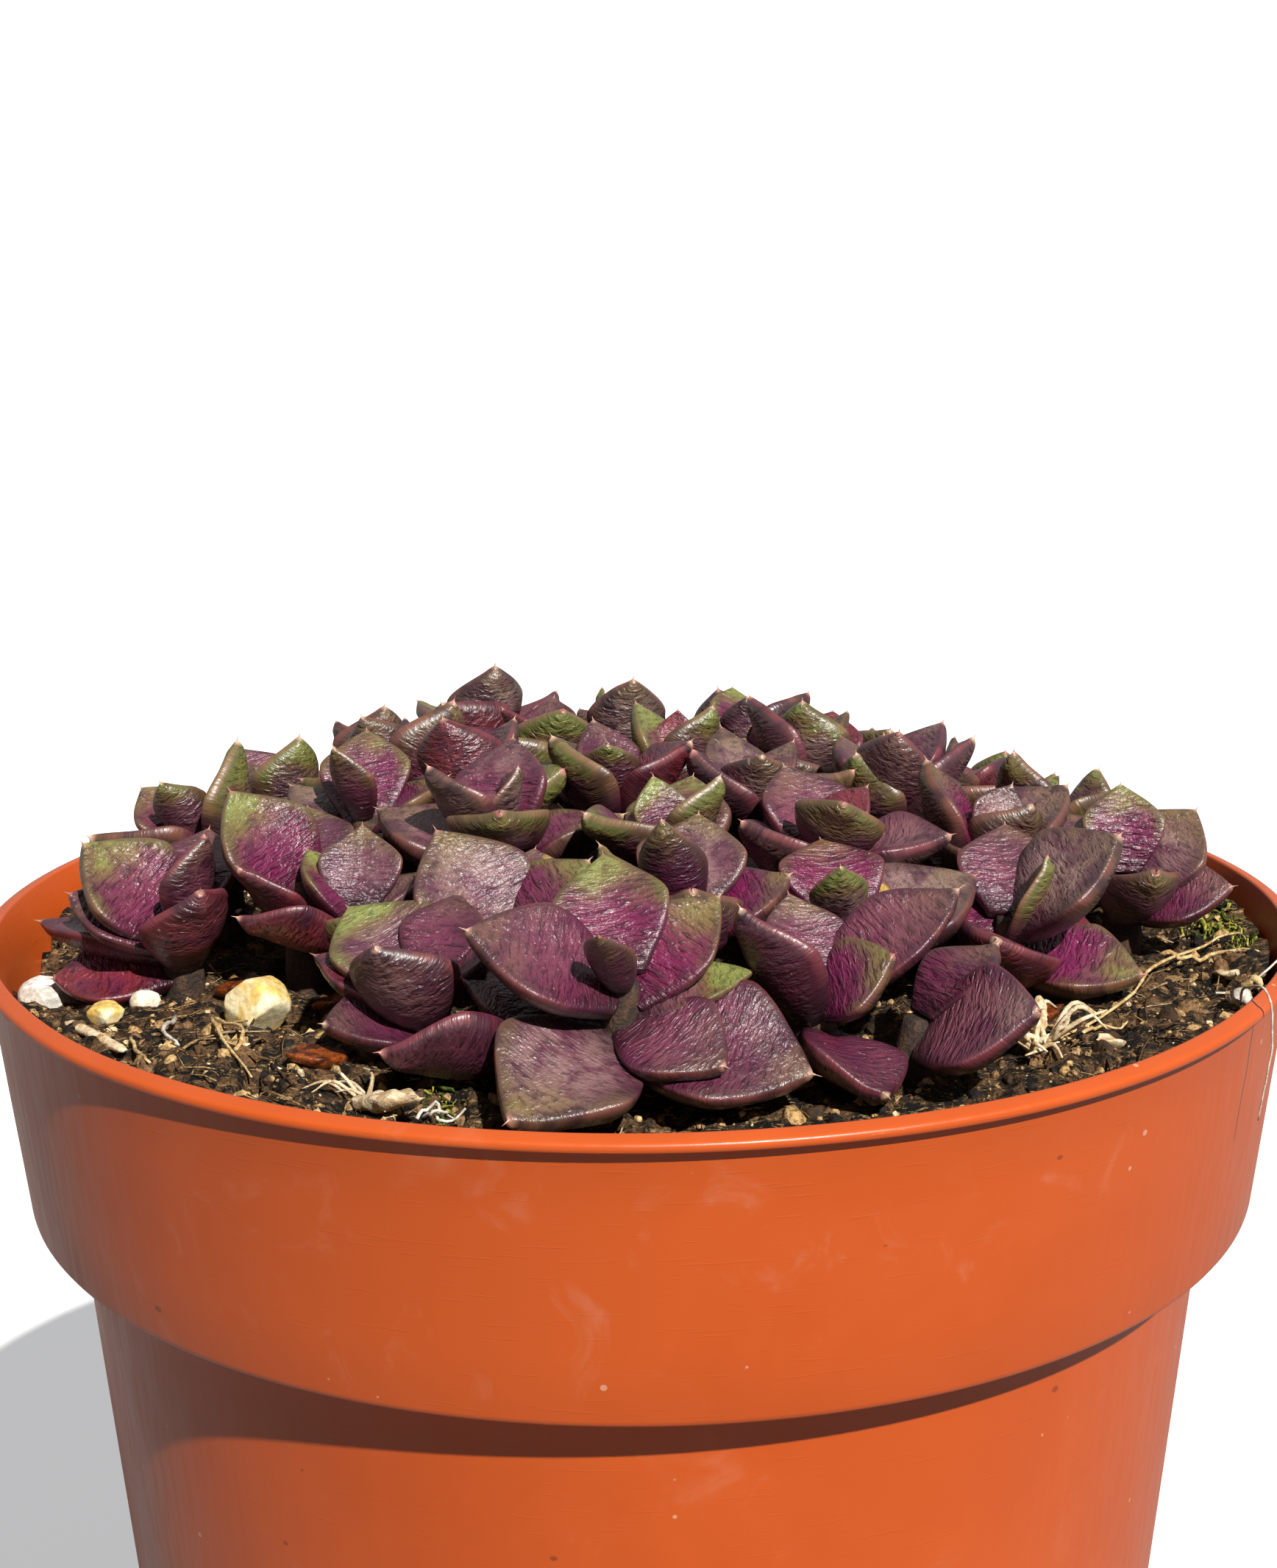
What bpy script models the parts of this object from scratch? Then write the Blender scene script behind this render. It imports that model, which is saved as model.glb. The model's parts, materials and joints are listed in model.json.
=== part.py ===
"""A mat of small thick-leaved rosettes growing in a round plastic nursery pot.

Everything is laid out in millimetres, with +Z up, the pot's axis on Z and its foot at Z = 0.
The front is -Y. Bearings run in degrees from the front (-Y) towards the right (+X).
"""

import math
import random
from typing import NamedTuple

import bmesh
import bpy
import numpy as np
from mathutils import Quaternion, Vector, noise
from mathutils.bvhtree import BVHTree

MM = 0.001
FIT_GAP = 0.3  # left between pieces that touch
UP = Vector((0, 0, 1))

# The pot
POT_HEIGHT = 92.0
RIM_RADIUS = 52.5
LIP_HEIGHT = 1.3
COLLAR_HEIGHT = 20.9
COLLAR_TOP_RADIUS = 51.4
COLLAR_FOOT_RADIUS = 49.6
BODY_TOP_RADIUS = 46.2
FOOT_RADIUS = 39.9
WALL = 1.0
FLOOR_THICKNESS = 1.4
FOOT_RING_WIDTH = 5.0
FOOT_RECESS = 1.6
EDGE_ROUND = 0.5  # of the lip and the foot
POT_SIDES = 48
DRAIN_HOLES = 8
DRAIN_RADIUS = 3.0
DRAIN_CIRCLE = 24.0
DRAIN_SIDES = 10

# Colour and roughness of what each piece is made of
PLASTIC = ((0.62, 0.13, 0.035), 0.42)
PEAT = ((0.06, 0.04, 0.025), 0.95)
PURPLE_FLESH = (0.13, 0.04, 0.08)
OLIVE_FLESH = (0.13, 0.12, 0.05)
FLESH_ROUGHNESS = 0.45
PEBBLE = ((0.75, 0.6, 0.35), 0.6)
DRY_LEAF = ((0.28, 0.09, 0.03), 0.55)
STRAW = ((0.6, 0.45, 0.25), 0.8)

# The soil
SOIL_LEVEL = 88.0
SOIL_RINGS = 9
SOIL_SECTORS = 32
BALL_GAP = 0.45  # between the root ball and the walls, more than a fit because their facets differ
SOIL_BUMP = 0.9
SOIL_BUMP_SPAN = 9.0
# Broad heaps and dips of the soil: place, reach in x and y, and height
SOIL_HEAPS = (
    (-27, -33, 11.0, 11.0, 1.8),
    (40, -22, 12.5, 12.5, 1.6),
    (-47, -6, 7.0, 7.0, -3.0),
    (3, -46, 21.0, 11.5, -2.2),
)

# The plants
STEM_RADIUS = 1.6
STEM_SIDES = 7
STEM_ROOT = 6.0  # how deep a stem stands in its hole
NECK = 0.9  # of bare stem above the soil
LEAFY_LENGTH = 4.6  # of the stem that carries leaves
FULL_CROWN = 6  # leaves that fill that length
DOME_RISE = 7.0  # how much taller a stem is in the middle of the mat than at its edge
MAT_RADIUS = 42.0
EDGE_LEAN = 30.0  # degrees that a rosette at the edge leans outward
GOLDEN_ANGLE = 137.508
LEAF_LENGTH = 11.5
LEAF_WIDTH = 10.0
SEED = 11


class Leaf(NamedTuple):
    """One leaf: its bearing round the rosette, and its rise above the rosette's own plane, in degrees."""

    bearing: float
    rise: float
    length: float
    width: float
    roll: float = 0.0
    arch: float = -0.06  # how far the tip bends back, against the length
    dish: float = 0.14  # how far the margins are lifted, against the width


class Crown(NamedTuple):
    """One rosette on its stem, which stands at x, y. leaves is a count, or the leaves set by hand."""

    name: str
    x: float
    y: float
    turn: float = 0.0  # bearing of its lowest leaf
    size: float = 1.0
    leaves: int | tuple = 7
    lean: float | None = None  # degrees outward from upright
    lift: float = 0.0  # of the whole rosette above the dome
    neck: float | None = None  # height of its lowest leaves, where it isn't left to the dome


FRONT_MIDDLE = (
    Leaf(327, -4, 12.5, 10.5, -20),
    Leaf(68, -3, 13.0, 10.5, 32),
    Leaf(44, -1, 9.0, 7.5, 24),
    Leaf(98, 20, 9.0, 4.6, 20),
    Leaf(122, 42, 10.0, 6.6, 30),
    Leaf(284, 31, 11.5, 8.6, -35),
    Leaf(345, 48, 7.5, 3.6, 0),
    Leaf(191, 46, 10.0, 8.0, -10),
)
LOW_LEFT = (
    Leaf(298, 12, 10.5, 8.2, 35),
    Leaf(266, 47, 5.5, 3.6, -10),
    Leaf(200, 40, 5.5, 5.0, 0),
)
FRONT_RIGHT = (
    Leaf(40, -4, 10.5, 8.0, -15),
    Leaf(289, 54, 10.0, 7.5, 15),
    Leaf(62, 43, 6.8, 6.6, 45),
    Leaf(96, 40, 12.0, 7.0, 30),
    Leaf(200, 52, 7.0, 6.0, 0),
)
LOW_RIGHT = (
    Leaf(42, 28, 10.5, 8.5, 42),
    Leaf(292, 24, 9.0, 6.0, -20),
    Leaf(115, 40, 7.5, 6.5, 0),
)
FRONT_LEFT = (
    Leaf(305, 20, 8.0, 6.5, -20),
    Leaf(330, 54, 9.0, 8.0, 12),
    Leaf(251, 25, 9.0, 6.0, -10),
    Leaf(70, 40, 6.0, 4.5, 20),
    Leaf(226, 30, 9.5, 8.5, -20),
    Leaf(160, 45, 7.0, 6.5, 0),
)
MID_LEFT = (
    Leaf(5, 48, 6.0, 5.5, 0),
    Leaf(285, 24, 9.5, 6.0, 30),
    Leaf(100, 45, 7.0, 6.0, 0),
    Leaf(235, 50, 7.0, 6.0, 0),
    Leaf(180, 55, 7.0, 6.5, 0),
)
CENTRE_LEFT = (
    Leaf(20, 22, 7.0, 6.0, 0),
    Leaf(254, 58, 11.5, 10.5, -25),
    Leaf(168, 50, 9.5, 8.5, -10),
    Leaf(100, 40, 8.0, 7.0, 20),
)
MIDDLE_FRONT = (
    Leaf(5, 60, 7.5, 8.0, 0),
    Leaf(250, 52, 9.5, 6.5, 30),
    Leaf(95, 35, 8.5, 7.0, 20),
    Leaf(330, 70, 9.5, 5.0, 20),
    Leaf(170, 50, 8.5, 8.0, 0),
)
INNER_RIGHT = (
    Leaf(320, 16, 7.5, 6.0, 0),
    Leaf(110, 28, 11.5, 10.0, 15),
    Leaf(253, 34, 9.8, 7.5, -20),
    Leaf(348, 61, 7.0, 4.4, 20),
    Leaf(190, 38, 8.0, 8.0, 0),
)
LEFT_EDGE = (
    Leaf(292, 2, 9.5, 7.0, -30),
    Leaf(26, 54, 9.0, 7.5, 20),
    Leaf(258, 14, 11.5, 6.5, 0),
    Leaf(277, 32, 9.0, 7.0, -30),
    Leaf(272, 50, 10.0, 9.0, -35),
    Leaf(60, 74, 8.0, 6.0, 10),
    Leaf(170, 44, 8.5, 7.5, 0),
)
LEFT_INNER = (
    Leaf(15, 46, 7.0, 6.0, 0),
    Leaf(320, 26, 8.0, 6.0, -15),
    Leaf(60, 34, 7.5, 6.5, 20),
    Leaf(262, 54, 10.0, 8.5, -35),
    Leaf(110, 48, 8.0, 7.0, 20),
    Leaf(185, 48, 8.0, 7.5, 0),
)
LEFT_RING = (
    Leaf(20, 38, 7.0, 6.0, 0),
    Leaf(300, 18, 9.0, 6.5, -10),
    Leaf(240, 34, 8.5, 7.0, 0),
    Leaf(100, 40, 8.0, 6.5, 0),
    Leaf(185, 48, 9.5, 7.5, 0),
    Leaf(320, 68, 7.0, 4.5, 0),
)
RIGHT_FRONT = (
    Leaf(329, 40, 9.0, 8.0, -20),
    Leaf(66, 4, 9.5, 8.0, 20),
    Leaf(44, 72, 8.0, 4.5, 30),
    Leaf(238, 40, 9.0, 7.5, -15),
    Leaf(76, 48, 10.5, 9.5, 30),
    Leaf(175, 50, 8.5, 7.5, 0),
)
RIGHT_EDGE = (
    Leaf(10, 44, 8.0, 7.0, 0),
    Leaf(64, 20, 8.5, 7.0, 35),
    Leaf(110, 48, 9.0, 8.5, 25),
    Leaf(235, 42, 8.5, 7.5, 0),
    Leaf(175, 60, 7.5, 6.5, 0),
)

# From the front of the mat to its back
CROWNS = (
    Crown("front_middle", -1, -33, leaves=FRONT_MIDDLE, lean=0, neck=90.4),
    Crown("low_left", -7.5, -32.5, leaves=LOW_LEFT, lean=0, neck=89.6),
    Crown("front_right", 12.3, -30, leaves=FRONT_RIGHT, lean=0, neck=89.8),
    Crown("low_right", 19, -32, leaves=LOW_RIGHT, lean=0, neck=89.6),
    Crown("front_left", -14.5, -29, leaves=FRONT_LEFT, lean=0, neck=89.4),
    Crown("centre_left", -9.5, -22, leaves=CENTRE_LEFT, lean=0, neck=91.8),
    Crown("mid_left", -21, -15.5, leaves=MID_LEFT, lean=0, neck=91),
    Crown("middle_front", 3.5, -22, leaves=MIDDLE_FRONT, lean=0, neck=92.5),
    Crown("inner_right", 15, -20.5, leaves=INNER_RIGHT, lean=0, neck=91.6),
    Crown("left_edge", -35, -13, leaves=LEFT_EDGE, lean=0, neck=89.2),
    Crown("right_front", 27.5, -18, leaves=RIGHT_FRONT, lean=0, neck=90.3),
    Crown("left_inner", -25.5, -12.5, leaves=LEFT_INNER, lean=0, neck=92),
    Crown("right_edge", 38.5, -6, leaves=RIGHT_EDGE, lean=0, neck=91),
    Crown("left_ring", -22, -2, leaves=LEFT_RING, lean=0, neck=94.5),
    Crown("heart_left", -10.5, -9.5, 330, 0.85),
    Crown("heart_right", 2, -11, 110, 0.85, lift=-1),
    Crown("right_inner", 14, -9, 25, 0.85, lift=-1),
    Crown("right_ring", 26, -6, 60, 0.85),
    Crown("left_back", -34.5, 2, 265, 0.9, lift=1),
    Crown("middle_left", -13, 2, 150, 0.85),
    Crown("middle", -2, 3, 250, 0.85, lift=-1),
    Crown("middle_right", 9.5, 3, 20, 0.85, lift=-1),
    Crown("right_middle", 20.5, 5, 160, 0.85),
    Crown("right_back", 32.5, 6, 110, 0.85, lift=-0.5),
    Crown("far_left", -31, 15, 235, 0.85, lift=0.5),
    Crown("back_left", -20, 12, 10, 0.85, lift=1),
    Crown("back_left_inner", -8, 14, 190, 0.85, lift=1),
    Crown("back_middle", 3, 14, 70, 0.85, lift=-1),
    Crown("back_right_inner", 15, 16, 345, 0.85),
    Crown("back_right", 26.5, 17, 130, 0.85, lift=-0.5),
    Crown("far_right", 37.5, 15, 100, 0.7, lift=-0.5),
    Crown("rear_far_left", -24.5, 26, 205, 0.85, lift=1),
    Crown("rear_left", -13.5, 25, 60, 0.9, lift=2.5),
    Crown("rear_middle", -1.5, 25, 175, 0.85, lift=1),
    Crown("rear_right", 9.5, 27, 245, 0.85, lift=1),
    Crown("rear_far_right", 21.5, 28, 160, 0.85, lift=-0.5),
    Crown("edge_right", 32.5, 25, 135, 0.7),
    Crown("edge_rear_left", -15, 37, 215, 0.85, lift=1.5),
    Crown("edge_rear_middle", -3.5, 37, 195, 0.85, lift=1),
    Crown("edge_rear_right", 9, 38, 150, 0.85, lift=1),
)

# What lies on the soil
# Place, length, width, bearing and rise of each fallen leaf
FALLEN_LEAVES = (
    ("fallen_leaf_left", -32.6, -14.6, 4.4, 3.4, 80, 10),
    ("fallen_leaf_stone", -24.6, -18.2, 3.6, 2.8, 75, 12),
    ("fallen_leaf_hollow", -19.5, -32.0, 4.4, 3.2, 300, 4),
    ("fallen_leaf_rim", -12.0, -43.5, 4.6, 2.8, 80, 4),
    ("fallen_leaf_front", 0.5, -46.0, 4.2, 2.8, 275, 4),
    ("fallen_leaf_lip", 8.5, -45.0, 3.8, 2.6, 110, 6),
    ("fallen_leaf_low", 18.5, -39.5, 3.6, 2.8, 50, 8),
    ("fallen_leaf_right", 26.0, -25.5, 4.0, 3.6, 100, 10),
)
# Place, width, height over width, and seed of each stone
STONES = (
    ("stone_yellow", -27.8, -21.0, 5.4, 0.85, 3),
    ("stone_yellow_small", -39.3, -20.0, 3.2, 0.8, 5),
    ("stone_cream", -37.0, -17.0, 3.0, 0.8, 8),
    ("stone_white", -45.6, -12.2, 4.6, 0.7, 2),
)
STONE_POINTS = 22
STONE_BED = 0.2  # how far a stone's middle stands above the soil, against its height
LYING_BED = 0.4  # mm that the middle of a fallen leaf stands above the soil
STRAW_RADIUS = 0.4
STRAW_STATIONS = 4
STRAW_SIDES = 5
# Ends of the long straw, then the split husk and the frayed tuft, placed as fallen leaves and stones are
STRAW_ENDS = ((-41.6, -22.0), (-35.6, -29.5))
HUSK = (-19.0, -38.5, 5.2, 2.6, 70, 4)
TUFT_KNOT = (27.5, -30.5, 1.8, 0.8, 4)
TUFT = (
    (27.5, -30.5, 3.6, 1.6, 170, 62),
    (27.5, -30.5, 3.4, 1.5, 60, 48),
    (27.5, -30.5, 3.4, 1.5, 290, 44),
)

# Leaves of a rosette from the lowest to the youngest: rise, and length and width against a full leaf
LEAF_ORDER = (
    (4, 0.95, 0.95),
    (10, 1.0, 1.0),
    (18, 1.0, 1.02),
    (26, 1.0, 1.02),
    (36, 0.98, 1.0),
    (46, 0.92, 0.92),
    (58, 0.78, 0.8),
    (70, 0.58, 0.55),
)


def bearing_vector(degrees):
    angle = math.radians(degrees)
    return Vector((math.sin(angle), -math.cos(angle), 0.0))


def soil_height(x, y):
    """The soil's top, in small lumps on broad heaps and dips."""
    bump = noise.noise(Vector((x / SOIL_BUMP_SPAN, y / SOIL_BUMP_SPAN, 3.7)))
    height = SOIL_LEVEL + SOIL_BUMP * bump
    for heap_x, heap_y, reach_x, reach_y, rise in SOIL_HEAPS:
        height += rise * math.exp(-(((x - heap_x) / reach_x) ** 2) - ((y - heap_y) / reach_y) ** 2)
    return height


def make_material(name, colour, roughness):
    material = bpy.data.materials.new(name)
    material.use_nodes = True
    shader = material.node_tree.nodes["Principled BSDF"]
    shader.inputs["Base Color"].default_value = (*colour, 1.0)
    shader.inputs["Roughness"].default_value = roughness
    return material


def make_object(name, points, faces, look=None):
    """A mesh object from points in millimetres, with a material of its own if it has a look."""
    mesh = bpy.data.meshes.new(name)
    mesh.from_pydata([Vector(p) * MM for p in points], [], faces)
    built = bmesh.new()
    built.from_mesh(mesh)
    bmesh.ops.recalc_face_normals(built, faces=built.faces)
    built.to_mesh(mesh)
    built.free()
    if look:
        mesh.materials.append(make_material(name, *look))
    made = bpy.data.objects.new(name, mesh)
    bpy.context.scene.collection.objects.link(made)
    return made


def ring_faces(rings, sides, close_start=True, close_end=True):
    """Faces of a tube of rings, each with the same number of points."""
    faces = []
    for r in range(rings - 1):
        for s in range(sides):
            n = (s + 1) % sides
            faces.append((r * sides + s, r * sides + n, (r + 1) * sides + n, (r + 1) * sides + s))
    if close_start:
        faces.append(tuple(range(sides))[::-1])
    if close_end:
        faces.append(tuple((rings - 1) * sides + s for s in range(sides)))
    return faces


def turned(name, profile, sides, look):
    """A closed solid turned about Z from a profile of (radius, height), with poles on the axis."""
    points, index = [], []
    for radius, height in profile:
        if radius == 0:
            index.append([len(points)] * sides)
            points.append((0, 0, height))
            continue
        index.append([len(points) + s for s in range(sides)])
        for s in range(sides):
            angle = 2 * math.pi * s / sides
            points.append((radius * math.cos(angle), radius * math.sin(angle), height))
    faces = []
    for low, high in zip(index, index[1:]):
        for s in range(sides):
            n = (s + 1) % sides
            corners = list(dict.fromkeys((low[s], low[n], high[n], high[s])))
            faces.append(corners)
    return make_object(name, points, faces, look)


def body_radius(height):
    """The body's outer radius at a height."""
    shoulder = POT_HEIGHT - COLLAR_HEIGHT
    return FOOT_RADIUS + (BODY_TOP_RADIUS - FOOT_RADIUS) * height / shoulder


def collar_radius(height):
    """The collar's outer radius at a height."""
    share = (height - (POT_HEIGHT - COLLAR_HEIGHT)) / (COLLAR_HEIGHT - LIP_HEIGHT)
    return COLLAR_FOOT_RADIUS + (COLLAR_TOP_RADIUS - COLLAR_FOOT_RADIUS) * share


def make_cylinder(name, radius, low, high, x, y, sides):
    points = []
    for height in (low, high):
        for s in range(sides):
            angle = 2 * math.pi * s / sides
            points.append((x + radius * math.cos(angle), y + radius * math.sin(angle), height))
    return make_object(name, points, ring_faces(2, sides))


def combine(target, others, operation):
    """Joins or cuts target with the other objects in one Boolean, and removes them."""
    group = bpy.data.collections.new("operands")
    bpy.context.scene.collection.children.link(group)
    for other in others:
        bpy.context.scene.collection.objects.unlink(other)
        group.objects.link(other)
    modifier = target.modifiers.new("combine", "BOOLEAN")
    modifier.operation = operation
    modifier.operand_type = "COLLECTION"
    modifier.collection = group
    bpy.context.view_layer.update()
    graph = bpy.context.evaluated_depsgraph_get()
    result = bpy.data.meshes.new_from_object(target.evaluated_get(graph))
    target.modifiers.clear()
    target.data = result
    for other in others:
        bpy.data.objects.remove(other)
    bpy.data.collections.remove(group)


def make_pot():
    """The moulded pot: lip, collar, tapered body and a recessed floor with drain holes."""
    shoulder = POT_HEIGHT - COLLAR_HEIGHT
    lip_foot = POT_HEIGHT - LIP_HEIGHT
    inner_shoulder = shoulder + WALL
    floor_top = FOOT_RECESS + FLOOR_THICKNESS
    recess_radius = FOOT_RADIUS - FOOT_RING_WIDTH
    profile = (
        (0, FOOT_RECESS),
        (recess_radius - FOOT_RECESS, FOOT_RECESS),
        (recess_radius, 0.0),
        (FOOT_RADIUS - EDGE_ROUND, 0.0),
        (FOOT_RADIUS, EDGE_ROUND),
        (BODY_TOP_RADIUS, shoulder),
        (COLLAR_FOOT_RADIUS, shoulder),
        (COLLAR_TOP_RADIUS, lip_foot),
        (RIM_RADIUS, lip_foot),
        (RIM_RADIUS, POT_HEIGHT - EDGE_ROUND),
        (RIM_RADIUS - EDGE_ROUND, POT_HEIGHT),
        (COLLAR_TOP_RADIUS - WALL + EDGE_ROUND, POT_HEIGHT),
        (COLLAR_TOP_RADIUS - WALL, POT_HEIGHT - EDGE_ROUND),
        (COLLAR_FOOT_RADIUS - WALL, inner_shoulder),
        (BODY_TOP_RADIUS - WALL, inner_shoulder),
        (FOOT_RADIUS - WALL, floor_top),
        (0, floor_top),
    )
    pot = turned("pot", profile, POT_SIDES, PLASTIC)
    cutters = []
    for hole in range(DRAIN_HOLES):
        angle = 2 * math.pi * (hole + 0.5) / DRAIN_HOLES
        x, y = DRAIN_CIRCLE * math.cos(angle), DRAIN_CIRCLE * math.sin(angle)
        cutters.append(
            make_cylinder(f"drain_{hole}", DRAIN_RADIUS, 0.0, floor_top + 1.0, x, y, DRAIN_SIDES)
        )
    combine(pot, cutters, "DIFFERENCE")
    return pot


def make_ball():
    """The root ball, which fills the pot and follows its walls, with its lumpy top."""
    floor_top = FOOT_RECESS + FLOOR_THICKNESS + FIT_GAP
    shoulder = POT_HEIGHT - COLLAR_HEIGHT + WALL + FIT_GAP
    clear = WALL + BALL_GAP
    side = (
        (body_radius(floor_top) - clear, floor_top),
        (body_radius(shoulder) - clear, shoulder),
        (COLLAR_FOOT_RADIUS - clear, shoulder),
    )
    sectors = SOIL_SECTORS
    angles = [2 * math.pi * s / sectors for s in range(sectors)]
    points = [(0, 0, floor_top)]
    for radius, height in side:
        points += [(radius * math.cos(a), radius * math.sin(a), height) for a in angles]
    top_radius = collar_radius(SOIL_LEVEL) - clear
    for ring in range(SOIL_RINGS):
        radius = top_radius * (1 - ring / SOIL_RINGS)
        for a in angles:
            x, y = radius * math.cos(a), radius * math.sin(a)
            points.append((x, y, soil_height(x, y)))
    points.append((0, 0, soil_height(0, 0)))
    rings = len(side) + SOIL_RINGS
    faces = []
    for s in range(sectors):
        n = (s + 1) % sectors
        faces.append((0, 1 + n, 1 + s))
        for ring in range(rings - 1):
            low, high = 1 + ring * sectors, 1 + (ring + 1) * sectors
            faces.append((low + s, low + n, high + n))
            faces.append((low + s, high + n, high + s))
        last = 1 + (rings - 1) * sectors
        faces.append((last + s, last + n, len(points) - 1))
    return make_object("soil", points, faces, PEAT)


def make_soil(lying):
    """The root ball with a plain hole for each stem, and a dent under each thing that lies on it."""
    soil = make_ball()
    cutters = [make_object("dent", points, faces) for points, faces in lying]
    for crown in CROWNS:
        top = soil_height(crown.x, crown.y)
        low, high = top - STEM_ROOT - FIT_GAP, top + SOIL_BUMP + NECK
        cutters.append(
            make_cylinder("hole", STEM_RADIUS + FIT_GAP, low, high, crown.x, crown.y, STEM_SIDES)
        )
    combine(soil, cutters, "DIFFERENCE")
    return soil


# The leaf, with lengths along it against its length and the others against its width
POINT_END = 1.05  # of the short point past the tip
POINT_START = 0.93
POINT_RADIUS = 0.22  # mm
WIDEST = 0.56
ROOT_WIDTH = 0.4
ROOT_CURVE = 1.1
TIP_CURVE = 1.8
THICKNESS = 0.34
UPPER_SHARE = 0.3  # of the thickness that stands above the margins
MARGIN_ROUND = 0.8
KEEL_ROUND = 0.9
ROOT_REACH = 0.4  # mm of a leaf's root from the stem's axis
CORE_SHARE = 0.6  # of a leaf's width, that the leaves of one rosette keep clear of each other
LEAF_STATIONS = (0.36, 0.74)
LEAF_ANGLES = (0.0, 90.0, 180.0, 236.0, 304.0)


def leaf_surface(leaf, u, theta):
    """Points of a leaf in its own frame (across, along, up), for arrays of u along it and theta round it.

    u is 0 at the root and 1 at the tip, past which a short point stands. theta is 0 and pi at
    the margins.
    """
    swell = np.sin(np.pi / 2 * np.clip(u / WIDEST, 0, 1)) ** ROOT_CURVE
    narrowing = np.clip((u - WIDEST) / (1 - WIDEST), 0, 1) ** TIP_CURVE
    share = np.where(u < WIDEST, ROOT_WIDTH + (1 - ROOT_WIDTH) * swell, 1 - narrowing)
    point = POINT_RADIUS * np.clip((POINT_END - u) / (POINT_END - POINT_START), 0, 1)
    half = np.maximum(leaf.width / 2 * share, point * (u > POINT_START))
    belly = 0.72 + 0.28 * np.sin(np.pi * np.clip(u / 0.75, 0, 1))
    thick = THICKNESS * leaf.width * belly * np.sqrt(np.clip(1 - u**5, 0, 1))
    across, upward = np.cos(theta), np.sin(theta)
    x = half * np.sign(across) * np.abs(across) ** MARGIN_ROUND
    above = np.maximum(UPPER_SHARE * thick, point) * np.abs(upward) ** MARGIN_ROUND
    below = np.maximum((1 - UPPER_SHARE) * thick, point) * np.abs(upward) ** KEEL_ROUND
    z = np.where(upward >= 0, above, -below)
    z = z + leaf.dish * leaf.width * (2 * x / leaf.width) ** 2 + leaf.arch * leaf.length * u**2
    return np.stack([x, leaf.length * u, z], axis=-1)


def leaf_frame(leaf, axis):
    """The directions across, along and up of a leaf on a rosette whose axis is given."""
    radial = UP.rotation_difference(axis) @ bearing_vector(leaf.bearing)
    rise = math.radians(leaf.rise)
    along = radial * math.cos(rise) + axis * math.sin(rise)
    up = axis * math.cos(rise) - radial * math.sin(rise)
    turn = Quaternion(along, math.radians(leaf.roll))
    return turn @ along.cross(up), along, turn @ up


def leaf_points(leaf, root, axis, u, theta):
    across, along, up = leaf_frame(leaf, axis)
    start = np.array(root + along * ROOT_REACH)
    return start + leaf_surface(leaf, u, theta) @ np.array((across, along, up))


def leaf_mesh(leaf, root, axis, grow=0.0):
    """Points and faces of a leaf in place, root and tip first. grow swells it by some millimetres."""
    swollen = leaf._replace(width=leaf.width + 2 * grow, length=leaf.length + grow)
    u, theta = np.meshgrid((0.0, POINT_END), (0.0, np.pi), indexing="ij")
    ends = leaf_points(swollen, root, axis, u, theta).mean(axis=1)
    u, theta = np.meshgrid(LEAF_STATIONS, np.radians(LEAF_ANGLES), indexing="ij")
    rings = leaf_points(swollen, root, axis, u, theta).reshape(-1, 3)
    points = np.concatenate([ends, rings])
    sides = len(LEAF_ANGLES)
    faces = []
    for s in range(sides):
        n = (s + 1) % sides
        faces.append((0, 2 + n, 2 + s))
        faces.append((2 + s, 2 + n, 2 + sides + n))
        faces.append((2 + s, 2 + sides + n, 2 + sides + s))
        faces.append((2 + sides + s, 2 + sides + n, 1))
    return points, faces


def stone_mesh(x, y, width, flatness, seed, grow=0.0):
    """A rounded pebble, a third of it below the soil's top."""
    rng = random.Random(seed)
    shape = bmesh.new()
    for k in range(STONE_POINTS):
        height = 1 - 2 * (k + 0.5) / STONE_POINTS
        around = math.radians(GOLDEN_ANGLE * k)
        flat = math.sqrt(1 - height**2)
        spoke = Vector((flat * math.cos(around), flat * math.sin(around), height * flatness))
        shape.verts.new(spoke * (width / 2 * rng.uniform(0.86, 1.04) + grow))
    bmesh.ops.convex_hull(shape, input=shape.verts)
    bmesh.ops.delete(shape, geom=[v for v in shape.verts if not v.link_faces], context="VERTS")
    shape.verts.index_update()
    centre = Vector((x, y, soil_height(x, y) + width * flatness * STONE_BED))
    points = [centre + v.co for v in shape.verts]
    faces = [tuple(v.index for v in f.verts) for f in shape.faces]
    shape.free()
    return points, faces


def lying_leaf_mesh(x, y, length, width, bearing, rise, grow=0.0):
    """A fallen leaf, husk or blade of straw, bedded in the soil."""
    leaf = Leaf(bearing, rise, length, width, arch=0.1, dish=0.1)
    return leaf_mesh(leaf, Vector((x, y, soil_height(x, y) + LYING_BED)), UP, grow)


def straw_mesh(grow=0.0):
    """The long straw, which lies along the soil's top."""
    start, end = (np.array(place) for place in STRAW_ENDS)
    radius = STRAW_RADIUS + grow
    points = []
    for k in range(STRAW_STATIONS):
        x, y = start + (end - start) * k / (STRAW_STATIONS - 1)
        height = soil_height(x, y) + STRAW_RADIUS
        for s in range(STRAW_SIDES):
            angle = 2 * math.pi * s / STRAW_SIDES
            reach = radius * math.cos(angle)
            points.append((x + reach, y + reach, height + radius * math.sin(angle)))
    return points, ring_faces(STRAW_STATIONS, STRAW_SIDES)


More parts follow.
